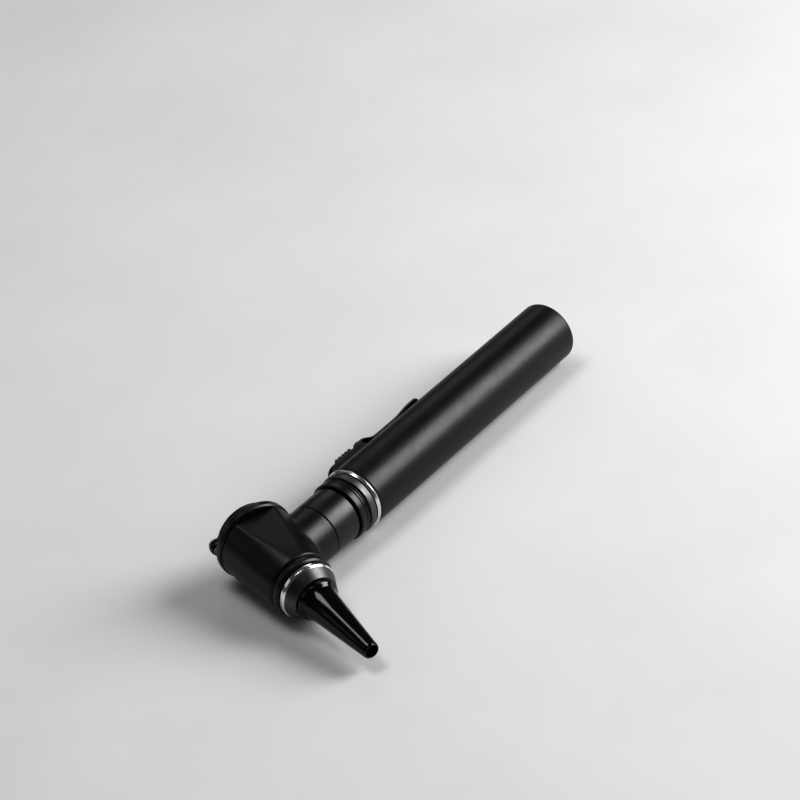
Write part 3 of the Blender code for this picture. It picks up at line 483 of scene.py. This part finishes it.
HANDLE_BLACK = black("handle_black", 0.003, 0.4, 0.5, edge=HANDLE_END_EDGE)
HEAD_BLACK = black("head_black", 0.003, 0.37, 0.5, 0.16 * MM, 0.008 * MM)
SWITCH_BLACK = black("switch_black", 0.0045, 0.42, 0.42)
# The paler tone 0.09 on the rib tops is a painted highlight as well as scuffs.
SLIDER_BLACK = black("slider_black", 0.008, 0.36, 0.5, edge=SLIDER_TOP_WEAR_AND_HIGHLIGHT, rubbed_and_highlight_tone=0.09)
NECK_BLACK = black("neck_black", 0.004, 0.36, 0.6, 0.3 * MM, 0.002 * MM)
RING_BLACK = black("ring_black", 0.004, 0.34, 0.55, 0.3 * MM, 0.003 * MM)
SPECULUM_BLACK = black("speculum_black", 0.003, 0.13, 0.5, 0.5 * MM, 0.002 * MM)
FRAME_BLACK = black("lens_frame_black", 0.004, 0.3, 0.45)
CLIP_BLACK = black("clip_black", 0.005, 0.3, 0.5, 0.3 * MM, 0.004 * MM, edge=CLIP_TIP_EDGE)
TUBE_BLACK = black("tube_black", 0.002, 0.85, 0.1)
CHROME_HANDLE = turned_metal("chrome_ferrule", (0.84, 0.84, 0.86), 0.2, ALONG)
CHROME_HEAD = turned_metal(
    "chrome_holder",
    (0.13, 0.13, 0.135),
    0.38,
    SIGHT,
    depth=0.004 * MM,
    spotted=0.8,
    polished=HOLDER_POLISH_END,
)
SATIN_HANDLE = turned_metal("satin_ring", (0.15, 0.15, 0.155), 0.42, ALONG, 0.12 * MM, 0.004 * MM)
SATIN_LENS = turned_metal("satin_retainer", (0.42, 0.42, 0.43), 0.3, SIGHT, 0.12 * MM, 0.004 * MM)
NICKEL = turned_metal("nickel", (0.64, 0.61, 0.55), 0.22, ALONG)
BRASS = turned_metal("brass", (0.8, 0.58, 0.27), 0.25, ALONG, tarnish=0.4)
STEEL = turned_metal("spring_steel", (0.56, 0.56, 0.58), 0.25, SIGHT)
LENS_GLASS = clear("lens_glass", (0.95, 0.985, 0.985))
LAMP_GLASS = clear("lamp_glass", (0.96, 0.97, 0.98))
NYLON = plain_moulding("insulator", (0.66, 0.63, 0.55), 0.5, 0.3 * MM, 0.01 * MM)
JACKET = plain_moulding("cell_jacket", (0.05, 0.13, 0.24), 0.3, 0.5 * MM, 0.003 * MM)
FIBRE = fibre_ends("fibre")


# Handle


def handle_barrel():
    mouth, end, _, radius = spans("handle_tube", HANDLE_LINE)
    seat, seat_end = 9.25 * MM, spans("mouth_ferrule", HANDLE_LINE)[1] + 0.3 * MM
    edge = 1.2 * MM
    bore = 7.6 * MM
    inner_end = end - 2.4 * MM
    dish_radius, dish = 7.6 * MM, 0.4 * MM  # shallow recess in the flat end
    outline = [
        (radius - 0.2 * MM, mouth),
        (radius, mouth + 0.2 * MM),
        *arc((radius - edge, end - edge), edge, 0, 90, 12),
        (dish_radius + 0.3 * MM, end),
        (dish_radius, end - dish),
        (0, end - dish),
        (0, inner_end),
        (bore, inner_end),
        (bore, seat_end),
        (seat, seat_end),
        (seat, mouth),
    ]
    made = turned("handle_barrel", outline, HANDLE_LINE, edge=0.08 * MM)
    slot_start, slot_end, slot_half = 42.7 * MM, 49.8 * MM, 1.7 * MM  # for the slider's peg
    inside, outside = bore - 1 * MM, 11 * MM
    cut(made, box((slot_start, inside, -slot_half), (slot_end, outside, slot_half), PLAN))
    channel_floor, channel_half = 8.9 * MM, 1.9 * MM  # for the contact strip
    channel_end = inner_end - 0.1 * MM
    low, high = (slot_start, inside, -channel_half), (channel_end, channel_floor, channel_half)
    cut(made, box(low, high, PLAN))
    placed(made, "handle", "handle_black", HANDLE_BLACK, "handle_tube")


def handle_mouth():
    front, end, bore, radius = spans("mouth_ferrule", HANDLE_LINE)
    flange_end = spans("handle_tube", HANDLE_LINE)[0] - 0.1 * MM
    sleeve = 8.95 * MM
    bead = 0.45 * MM
    outline = [
        (bore, front),
        (radius - 0.35 * MM, front),
        *arc((radius - bead, (front + flange_end) / 2), bead, -60, 60, 6),
        (radius - 0.35 * MM, flange_end),
        (sleeve, flange_end),
        (sleeve, end),
        (bore, end),
    ]
    made = turned("ferrule", outline, HANDLE_LINE)
    placed(made, "handle", "chrome", CHROME_HANDLE, "mouth_ferrule")


def switch_base():
    """The housing: a soft-edged block that sits on the handle, with the slider's pocket."""
    low, high = reach("switch_housing", PLAN)
    middle, half = (low + high) / 2, (high - low) / 2
    edge = 1.3 * MM
    saddle = spans("handle_tube", HANDLE_LINE)[3] + 0.1 * MM
    camber = 0.25 * MM  # how far the top falls at its two long edges
    pocket_middle, pocket_half, pocket_side = 46.3 * MM, 6.1 * MM, 3.2 * MM
    pocket_floor = 11.2 * MM
    window_middle, window_half, window_side = 46.25 * MM, 3.55 * MM, 1.7 * MM

    def distance(p):
        x, y, z = p[:, 0], p[:, 1], p[:, 2]
        crown = high.y - camber * (z / half.z) ** 2
        block = smooth_max(slab(x, middle.x, half.x), slab(z, 0, half.z), 2 * edge)
        block = smooth_max(block, y - crown, edge)
        block = np.maximum(block, low.y - y)
        block = smooth_max(block, saddle - np.hypot(y, z), 0.15 * MM)
        pocket = slab(x, pocket_middle, pocket_half), slab(z, 0, pocket_side)
        pocket = np.maximum(smooth_max(*pocket, 0.9 * MM), pocket_floor - y)
        block = smooth_max(block, -pocket, 0.35 * MM)
        window = np.maximum(slab(x, window_middle, window_half), slab(z, 0, window_side))
        return smooth_max(block, -window, 0.2 * MM)

    made = moulded_form("switch_base", "switch_housing", PLAN, distance, 0.16 * MM)
    placed(made, "handle", "switch_black", SWITCH_BLACK, "switch_housing")


def switch_button():
    """The slider: rounded ribs across its top, and the peg below."""
    low, high = reach("switch_slider", PLAN)
    bottom = 11.5 * MM
    middle, half = (low + high) / 2, (high - low) / 2
    ribs = 5
    pitch = 2 * half.x / ribs
    depth = 0.5 * MM
    camber = 0.3 * MM  # how far the top falls at its two long edges
    peg_middle, peg_half, peg_side = 48.2 * MM, 1.2 * MM, 1.4 * MM
    peg_top = 12.5 * MM

    def distance(p):
        x, y, z = p[:, 0], p[:, 1], p[:, 2]
        wave = 0.5 + 0.5 * np.cos(2 * math.pi * (x - low.x) / pitch)
        top = high.y - depth * wave - camber * (z / half.z) ** 2
        block = smooth_max(slab(x, middle.x, half.x), slab(z, 0, half.z), 0.9 * MM)
        block = smooth_max(block, y - top, 0.4 * MM)
        block = smooth_max(block, bottom - y, 0.2 * MM)
        peg = smooth_max(slab(x, peg_middle, peg_half), slab(z, 0, peg_side), 0.3 * MM)
        peg = np.maximum(np.maximum(peg, y - peg_top), low.y - y)
        return smooth_min(block, peg, 0.2 * MM)

    made = moulded_form("switch_button", "switch_slider", PLAN, distance, 0.12 * MM)
    placed(made, "switch", "slider_black", SLIDER_BLACK, "switch_slider")


def clip_strip():
    """One bent strip: foot, drop, and a sprung arm whose rounded tip lifts."""
    foot_low, foot_high = reach("clip_foot", PLAN)
    arm_low, arm_high = reach("clip_arm", PLAN)
    start, end = foot_low.x, arm_high.x
    bend = arm_low.x
    thick = foot_high.y - foot_low.y
    half = foot_high.z
    foot_mid = (foot_low.y + foot_high.y) / 2
    rest = arm_low.y + thick / 2
    drop_length, lip_rise = 3.8 * MM, 1 * MM
    lip_start, lip_end = 70 * MM, 80 * MM
    foot_corner = 1 * MM
    edge, edge_steps = 0.22 * MM, 4
    camber = 0.1 * MM  # how far the top falls at its two long edges
    least_room = 0.02 * MM  # keeps some width at both ends
    stations = 120

    def ease(share):
        share = min(max(share, 0), 1)
        return share * share * (3 - 2 * share)

    def height(x):
        rise = lip_rise * ease((x - lip_start) / (lip_end - lip_start))
        return foot_mid + (rest - foot_mid) * ease((x - bend) / drop_length) + rise

    def half_width(x):
        """Small round corners at the foot, and a tip that is one half circle."""
        corner = foot_corner if x < bend else half - edge
        room = min(x - start + least_room, end - x + least_room, corner)
        return half - corner + math.sqrt(corner**2 - (corner - room) ** 2)

    ring = []
    for across, upward, turn in ((1, 1, 0), (-1, 1, 90), (-1, -1, 180), (1, -1, 270)):
        for i in range(edge_steps + 1):
            t = math.radians(turn + 90 / edge_steps * i)
            ring.append((across, upward, math.cos(t) * edge, math.sin(t) * edge))
    bm = bmesh.new()
    rows = []
    for i in range(stations + 1):
        share = i / stations
        x = start + (end - start) * (0.5 - 0.5 * math.cos(math.pi * share))
        step = 0.05 * MM
        slope = (height(x + step) - height(x - step)) / (2 * step)
        normal = Vector((-slope, 1, 0)).normalized()
        middle = Vector((x, height(x), 0))
        width = half_width(x)
        row = []
        for across, upward, dz, dn in ring:
            z = across * (width - edge) + dz
            fall = camber * (z / half) ** 2 if upward > 0 else 0
            offset = upward * (thick / 2 - edge) + dn - fall
            row.append(bm.verts.new(PLAN @ (middle + normal * offset + Vector((0, 0, z)))))
        rows.append(row)
    for first, second in zip(rows, rows[1:]):
        for i in range(len(ring)):
            j = (i + 1) % len(ring)
            bm.faces.new((first[i], first[j], second[j], second[i]))
    bm.faces.new(rows[0][::-1])
    bm.faces.new(rows[-1])
    bmesh.ops.recalc_face_normals(bm, faces=bm.faces)
    mesh = bpy.data.meshes.new("clip_strip")
    bm.to_mesh(mesh)
    bm.free()
    made = smooth(new_object("clip_strip", mesh), 40)
    made.data.materials.append(CLIP_BLACK)
    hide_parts("clip_foot", "clip_arm")
    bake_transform(made)


def rivets():
    for name in ("clip_rivet_upper", "clip_rivet_lower"):
        low, high = reach(name, PLAN)
        middle, radius = (low + high) / 2, (high.x - low.x) / 2
        outwards = Matrix.Rotation(math.radians(-90), 4, "X")
        line = PLAN @ Matrix.Translation((middle.x, 0, middle.z)) @ outwards
        face = high.y - 0.6 * MM
        shank = 0.8 * MM
        bulge = 2.2 * MM  # radius of the dome
        centre = face - (bulge - 0.58 * MM)
        outline = []
        for degrees in range(0, 37, 6):
            t = math.radians(degrees)
            outline.append((bulge * math.sin(t), centre + bulge * math.cos(t)))
        outline += [(radius, face + 0.12 * MM), (radius, face)]
        outline += [(shank, face), (shank, low.y), (0, low.y)]
        made = turned(name.replace("clip_", ""), outline, line, 0.06 * MM, SMALL)
        placed(made, "handle", "spring_steel", STEEL, name)


# Neck


def neck_pieces():
    front, rear, bore, radius = spans("neck_sleeve", HANDLE_LINE)
    core, step = 7.5 * MM, 21.4 * MM
    bevel = 0.45 * MM
    outline = [
        (radius - 0.1 * MM, front),
        (radius, front + 0.1 * MM),
        (radius, rear - bevel),
        (radius - bevel, rear),
        (core, rear),
        (core, step),
        (bore, step),
        (bore, front),
    ]
    sleeve = turned("neck_barrel", outline, HANDLE_LINE, 0.15 * MM)
    screw_low, screw_high = reach("neck_screw", PLAN)
    screw_x = (screw_low.x + screw_high.x) / 2
    down = PLAN @ Matrix.Translation((screw_x, 0, 0)) @ Matrix.Rotation(math.pi, 4, "X")
    cut(sleeve, rod(1.3 * MM, 6.3 * MM, 10 * MM, down))
    placed(sleeve, "head", "neck_black", NECK_BLACK, "neck_sleeve")

    inner, outer, shank = 6.6 * MM, abs(screw_low.z), 1 * MM
    outline = [(0, inner), (shank, inner), (shank, outer), (0, outer)]
    screw = turned("grub_screw", outline, down, 0.15 * MM, SMALL)
    low, high = (-2 * MM, -0.2 * MM, outer - 0.5 * MM), (2 * MM, 0.2 * MM, outer + 1 * MM)
    cut(screw, box(low, high, down))
    placed(screw, "head", "spring_steel", STEEL, "neck_screw")

    front, rear, bore, radius = spans("grip_ring", HANDLE_LINE)
    bevel = 0.3 * MM
    grip = [(bore, front), (radius - bevel, front), (radius, front + bevel)]
    groove = 0.34 * MM  # depth, and width at the surface
    for share in (0.6, 0.82):
        place = front + share * (rear - front)
        grip += [(radius, place - groove / 2), (radius - groove, place), (radius, place + groove / 2)]
    grip += [(radius, rear - bevel), (radius - bevel, rear), (bore, rear)]
    made = turned("grip_band", grip, HANDLE_LINE, 0.14 * MM)
    placed(made, "head", "ring_black", RING_BLACK, "grip_ring")

    front, rear, bore, radius = spans("satin_ring", HANDLE_LINE)
    bevel = 0.25 * MM
    satin = [(bore, front), (radius - bevel, front), (radius, front + bevel)]
    satin += [(radius, rear - bevel), (radius - bevel, rear), (bore, rear)]
    made = turned("seal_band", satin, HANDLE_LINE, 0.12 * MM)
    placed(made, "seal_ring", "satin_metal", SATIN_HANDLE, "satin_ring")


def threaded_spigot():
    """The CAD spigot draws its thread as rings. Here it is a true helix of the same pitch."""
    front, end, bore, radius = spans("spigot", HANDLE_LINE)
    nose, root, relief = 6.3 * MM, 7.2 * MM, 7.4 * MM  # radii
    step, shoulder, thread_start = 21.7 * MM, 27.9 * MM, 36 * MM
    pitch, depth = 1.5 * MM, 0.4 * MM
    steps = round((end - thread_start) / (0.15 * MM))
    rise = [(radius, thread_start + (end - thread_start) * i / steps) for i in range(1, steps)]
    outline = [
        (nose, front),
        (nose, step),
        (root, step),
        (root, shoulder),
        (radius, shoulder),
        (radius, thread_start),
        *rise,
        (radius - 0.3 * MM, end),
        (relief, end),
        (relief, shoulder + 1 * MM),
        (bore, shoulder + 1 * MM),
        (bore, front),
    ]
    made = turned("threaded_spigot", outline, Matrix(), 0)
    for vert in made.data.vertices:
        x, y, height = vert.co
        here = math.hypot(x, y)
        if here < radius - 0.1 * MM or height < thread_start:
            continue
        turn = height / pitch - math.atan2(y, x) / (2 * math.pi)
        fade = min(1, (height - thread_start) / pitch)
        sunk = depth * (fade * (0.5 - 0.5 * math.cos(2 * math.pi * turn)))
        share = (here - sunk) / here
        vert.co.x, vert.co.y = x * share, y * share
    made.data.transform(HANDLE_LINE)
    smooth(made)
    placed(made, "head", "nickel", NICKEL, "spigot")


# Head


def head_casting():
    """The shell: a cone with two flat cheeks that flows into the neck's stub."""
    rear, front = -12 * MM, 11.2 * MM
    rear_radius, front_radius = 12.3 * MM, 10.1 * MM
    cheek, cheek_edge = 10.3 * MM, 0.45 * MM
    chamber_radius, chamber_taper = 8.8 * MM, 0.5 * MM
    bore_radius, bore_start = 6.6 * MM, 2 * MM
    stub_start, neck_fillet = 4 * MM, 1.3 * MM
    stub_radius = spans("neck_sleeve", HANDLE_LINE)[3]
    stub_end = spans("neck_sleeve", HANDLE_LINE)[0] - 0.15 * MM
    axis = np.array([SIDE.dot(ALONG), UP.dot(ALONG), SIGHT.dot(ALONG)])
    rim = spans("eyepiece_rim", SIGHT_LINE)

    def distance(p):
        u, v, w = p[:, 0], p[:, 1], p[:, 2]
        rho = np.hypot(u, v)
        share = (w - rear) / (front - rear)
        cone = rho - rear_radius - (front_radius - rear_radius) * share
        body = smooth_max(cone, np.abs(v) - cheek, cheek_edge)
        body = smooth_max(body, w - front, 1.1 * MM)
        body = smooth_max(body, rear - w, 0.3 * MM)
        reached = p @ axis
        spread = np.linalg.norm(p - reached[:, None] * axis, axis=1)
        stub = smooth_max(spread - stub_radius, reached - stub_end, 0.25 * MM)
        stub = np.maximum(stub, stub_start - reached)
        whole = smooth_min(body, stub, neck_fillet)
        rim_room = np.maximum(rho - rim[3] - 0.3 * MM, w - rim[1] - 0.1 * MM)
        whole = np.maximum(whole, -rim_room)
        chamber = rho - chamber_radius + chamber_taper * share
        bore = np.maximum(spread - bore_radius, bore_start - reached)
        whole = smooth_max(whole, -chamber, 0.3 * MM)
        return smooth_max(whole, -bore, 0.3 * MM)

    made = moulded_form("head_casting", "head_shell", SIGHT_LINE, distance, 0.24 * MM)
    placed(made, "head", "head_black", HEAD_BLACK, "head_shell")


def front_pieces():
    rear, front, bore, radius = spans("front_collar", SIGHT_LINE)
    outline = [(bore, rear), (radius, rear)]
    outline += [(radius, front - 0.7 * MM), (radius - 0.5 * MM, front), (bore, front)]
    made = turned("collar", outline, SIGHT_LINE, 0.3 * MM)
    placed(made, "head", "ring_black", RING_BLACK, "front_collar")

    rear, tip, bore, radius = spans("speculum_holder", SIGHT_LINE)
    flange = 14.3 * MM
    shoulder = 19.6 * MM
    bevel = 0.35 * MM
    stem, cone_front, nose, nose_tip = 8 * MM, 7.2 * MM, 5.6 * MM, 3.8 * MM  # radii
    inlet = 7 * MM  # radius of the wider hole at the rear
    outline = [
        (stem, rear),
        (stem, flange),
        (radius - bevel, flange),
        (radius, flange + bevel),
        (radius, flange + 1.5 * MM),
        (radius - bevel, flange + 1.9 * MM),
        (cone_front, shoulder),
        (nose, shoulder),
        (nose, shoulder + 1.6 * MM),
        (nose_tip + 0.6 * MM, shoulder + 3.4 * MM),
        (nose_tip, tip),
        (bore, tip),
        (bore, 12.6 * MM),
        (inlet, 11.4 * MM),
        (inlet, rear),
    ]
    made = turned("holder_cone", outline, SIGHT_LINE, 0.22 * MM)
    placed(made, "head", "chrome", CHROME_HEAD, "speculum_holder")


def ear_speculum():
    base, tip, _, flare = spans("speculum", SIGHT_LINE)
    wall = 0.75 * MM
    throat, throat_radius = base + 3.9 * MM, 5.2 * MM
    cone_end, tip_radius = tip - 0.6 * MM, 2.6 * MM
    seat = 5.9 * MM
    cone = [
        (throat_radius + (tip_radius - throat_radius) * s, throat + (cone_end - throat) * s)
        for s in (0, 0.25, 0.5, 0.75, 1)
    ]
    outline = [
        (flare, base),
        (flare, base + 1.1 * MM),
        (5.75 * MM, base + 2.1 * MM),
        *cone,
        (tip_radius - 0.25 * MM, tip),
        (tip_radius - wall + 0.15 * MM, tip),
        (tip_radius - wall, cone_end),
        (throat_radius - wall, throat),
        (seat, base + 1.6 * MM),
        (seat, base),
    ]
    made = turned("ear_speculum", outline, SIGHT_LINE, 0.35 * MM)
    placed(made, "speculum", "speculum_black", SPECULUM_BLACK, "speculum")


# Eyepiece


PIVOT_HOLE = 1.15 * MM


def eyepiece():
    rear, front, bore, radius = spans("eyepiece_rim", SIGHT_LINE)
    edge = 0.8 * MM
    outline = [
        (bore, rear),
        *arc((radius - edge, rear + edge), edge, -90, 0, 8),
        (radius, front - 0.5 * MM),
        (radius - 0.5 * MM, front),
        (bore, front),
    ]
    made = turned("eyepiece_ring", outline, SIGHT_LINE, 0.15 * MM)
    cut(made, rod(PIVOT_HOLE, rear - 1 * MM, rear + 2 * MM, PIVOT_LINE))
    placed(made, "head", "ring_black", RING_BLACK, "eyepiece_rim")


def swinging_lens():
    rear, front, _, _ = spans("lens_frame", SIGHT_LINE)
    middle, half = (rear + front) / 2, (front - rear) / 2
    pivot = (PIVOT_LINE.translation - SIGHT_LINE.translation).length
    lip = front - 0.5 * MM
    plate_radius, window, groove_radius = 10.2 * MM, 7.8 * MM, 8.6 * MM
    ear, blend = 2.4 * MM, 1.6 * MM
    tab = pivot + 0.3 * MM  # place of the second ear, which a thumb pushes

    def distance(p):
        u, v, w = p[:, 0], p[:, 1], p[:, 2]
        rho = np.hypot(u, v)
        plate = smooth_min(rho - plate_radius, np.hypot(u + pivot, v) - ear, blend)
        plate = smooth_min(plate, np.hypot(u - tab, v) - ear, blend)
        body = smooth_max(plate, slab(w, middle, half), 0.8 * MM)
        body = smooth_max(body, window - rho, 0.2 * MM)
        groove = np.maximum(rho - groove_radius, w - lip)
        body = smooth_max(body, -groove, 0.15 * MM)
        return smooth_max(body, PIVOT_HOLE - np.hypot(u + pivot, v), 0.15 * MM)

    made = moulded_form("lens_carrier", "lens_frame", SIGHT_LINE, distance, 0.15 * MM)
    placed(made, "lens", "lens_frame_black", FRAME_BLACK, "lens_frame")

    rear, front, _, radius = spans("lens", SIGHT_LINE)
    front_bow, rear_bow = 0.75 * MM, 0.45 * MM
    steps = 16
    shares = [i / steps for i in range(steps)]
    face = [(radius * s, front - front_bow * s * s) for s in shares]
    back = [(radius * s, rear + rear_bow * s * s) for s in reversed(shares)]
    outline = [*face, (radius, front - front_bow), (radius, rear + rear_bow), *back]
    made = turned("magnifier", outline, SIGHT_LINE, 0)
    placed(made, "lens", "lens_glass", LENS_GLASS, "lens")

    rear, front, bore, radius = spans("lens_retainer", SIGHT_LINE)
    outline = [(bore, front), (radius, front), (radius, rear), (bore + 0.2 * MM, rear)]
    made = turned("retainer_ring", outline, SIGHT_LINE, 0.08 * MM)
    placed(made, "lens", "satin_metal", SATIN_LENS, "lens_retainer")

    top, end, _, head = spans("pivot_screw", PIVOT_LINE)
    under = top + 0.8 * MM
    shank = 1 * MM
    bevel = 0.35 * MM
    outline = [(0, top), (head - bevel, top), (head, top + bevel), (head, under)]
    outline += [(shank, under), (shank, end), (0, end)]
    made = turned("swivel_screw", outline, PIVOT_LINE, 0.12 * MM, SMALL)
    low, high = (-4 * MM, -0.25 * MM, top - 1 * MM), (4 * MM, 0.25 * MM, top + 0.4 * MM)
    cut(made, box(low, high, PIVOT_LINE))
    placed(made, "head", "spring_steel", STEEL, "pivot_screw")


INNER_FINISHES = {
    "sight_tube": TUBE_BLACK,
    "contact_strip": BRASS,
    "spring_cup": BRASS,
    "switch_contact": BRASS,
    "lamp_base": BRASS,
    "contact_pin": BRASS,
    "tail_spring": STEEL,
    "contact_spring": STEEL,
    "lens_washer": STEEL,
    "lamp_bulb": LAMP_GLASS,
    "lamp_holder": NYLON,
    "cell_rear": JACKET,
    "cell_front": JACKET,
    "fibre_bundle": FIBRE,
    "light_ring": FIBRE,
}


def inner_pieces():
    for name, material in INNER_FINISHES.items():
        mesh = NODES[name].data
        mesh.materials.clear()
        mesh.materials.append(material)


# Floor, light and camera


FLOOR_HALF = 3.0
FLOOR_DROP = 0.05 * MM  # keeps the floor just clear of the instrument's faces
WORLD_COLOUR = (0.95, 0.97, 1, 1)  # red, green, blue and alpha
WORLD_STRENGTH = 0.06
SOFT_BOXES = (  # name, direction from the instrument, distance, width and height, power
    ("key", (0.617, -0.59, 0.545), 0.95, (0.5, 0.62), 7.4),
    ("overhead", (-0.12, 0.25, 1), 1.3, (0.5, 0.5), 3.3),
    ("cheeks", (0.617, 0.555, 0.557), 1.1, (0.45, 0.45), 0.55),
    ("rear_fill", (-0.45, 0.8, 0.45), 1.1, (0.7, 0.4), 0.35),
)


def floor():
    bm = bmesh.new()
    bmesh.ops.create_grid(bm, x_segments=8, y_segments=8, size=FLOOR_HALF)
    mesh = bpy.data.meshes.new("floor")
    bm.to_mesh(mesh)
    bm.free()
    made = new_object("floor", mesh)
    made.location.z = -FLOOR_DROP
    s = Shading("floor")
    tone = s.ramp(s.noise(60 * MM, 4), 0.3, 0.7)
    s.set(Base_Color=s.mix(tone, (0.8, 0.79, 0.79), (0.84, 0.83, 0.83)), Roughness=0.9)
    s.set(Specular_IOR_Level=0.2)
    made.data.materials.append(s.bump(s.noise(0.7 * MM, 3), 0.03 * MM).material)


def soft_box(name, toward, distance, size, power):
    """A light that hangs in a direction from the instrument and faces it, unseen by the camera."""
    data = bpy.data.lights.new(name, "AREA")
    data.shape = "RECTANGLE"
    data.size, data.size_y = size
    data.energy = power
    made = new_object(name, data)
    direction = Vector(toward).normalized()
    side = Vector((0, 0, 1)).cross(direction).normalized()
    made.matrix_world = line_frame(side, direction.cross(side), direction, direction * distance)
    made.visible_camera = False


def light():
    world = bpy.data.worlds.new("studio")
    world.use_nodes = True
    background = world.node_tree.nodes["Background"]
    background.inputs["Color"].default_value = WORLD_COLOUR
    background.inputs["Strength"].default_value = WORLD_STRENGTH
    bpy.context.scene.world = world
    for name, toward, distance, size, power in SOFT_BOXES:
        soft_box(name, toward, distance, size, power)


CAMERA_AZIMUTH = -48.0
CAMERA_ELEVATION = 33.9
CAMERA_ROLL = -8.9
CAMERA_DISTANCE = 0.9695
CAMERA_LENS = 143.45
CAMERA_OFFSET = (-0.0117, 0.0291)  # of the view's centre from the origin, right and up


def camera():
    data = bpy.data.cameras.new("camera")
    data.lens = CAMERA_LENS
    data.sensor_width = 36
    data.clip_start = 0.01
    made = new_object("camera", data)
    azimuth, elevation = math.radians(CAMERA_AZIMUTH), math.radians(CAMERA_ELEVATION)
    level = Vector((math.sin(azimuth), -math.cos(azimuth), 0))
    back = level * math.cos(elevation) + Vector((0, 0, math.sin(elevation)))
    roll = Matrix.Rotation(math.radians(CAMERA_ROLL), 3, back)
    right = roll @ Vector((math.cos(azimuth), math.sin(azimuth), 0))
    up = back.cross(right)
    place = back * CAMERA_DISTANCE + right * CAMERA_OFFSET[0] + up * CAMERA_OFFSET[1]
    made.matrix_world = line_frame(right, up, back, place)
    bpy.context.scene.camera = made
    bpy.context.scene.view_settings.view_transform = "Standard"
    bpy.context.scene.view_settings.look = "High Contrast"


floor()
light()
camera()
handle_barrel()
handle_mouth()
switch_base()
switch_button()
clip_strip()
rivets()
neck_pieces()
threaded_spigot()
head_casting()
front_pieces()
ear_speculum()
eyepiece()
swinging_lens()
inner_pieces()
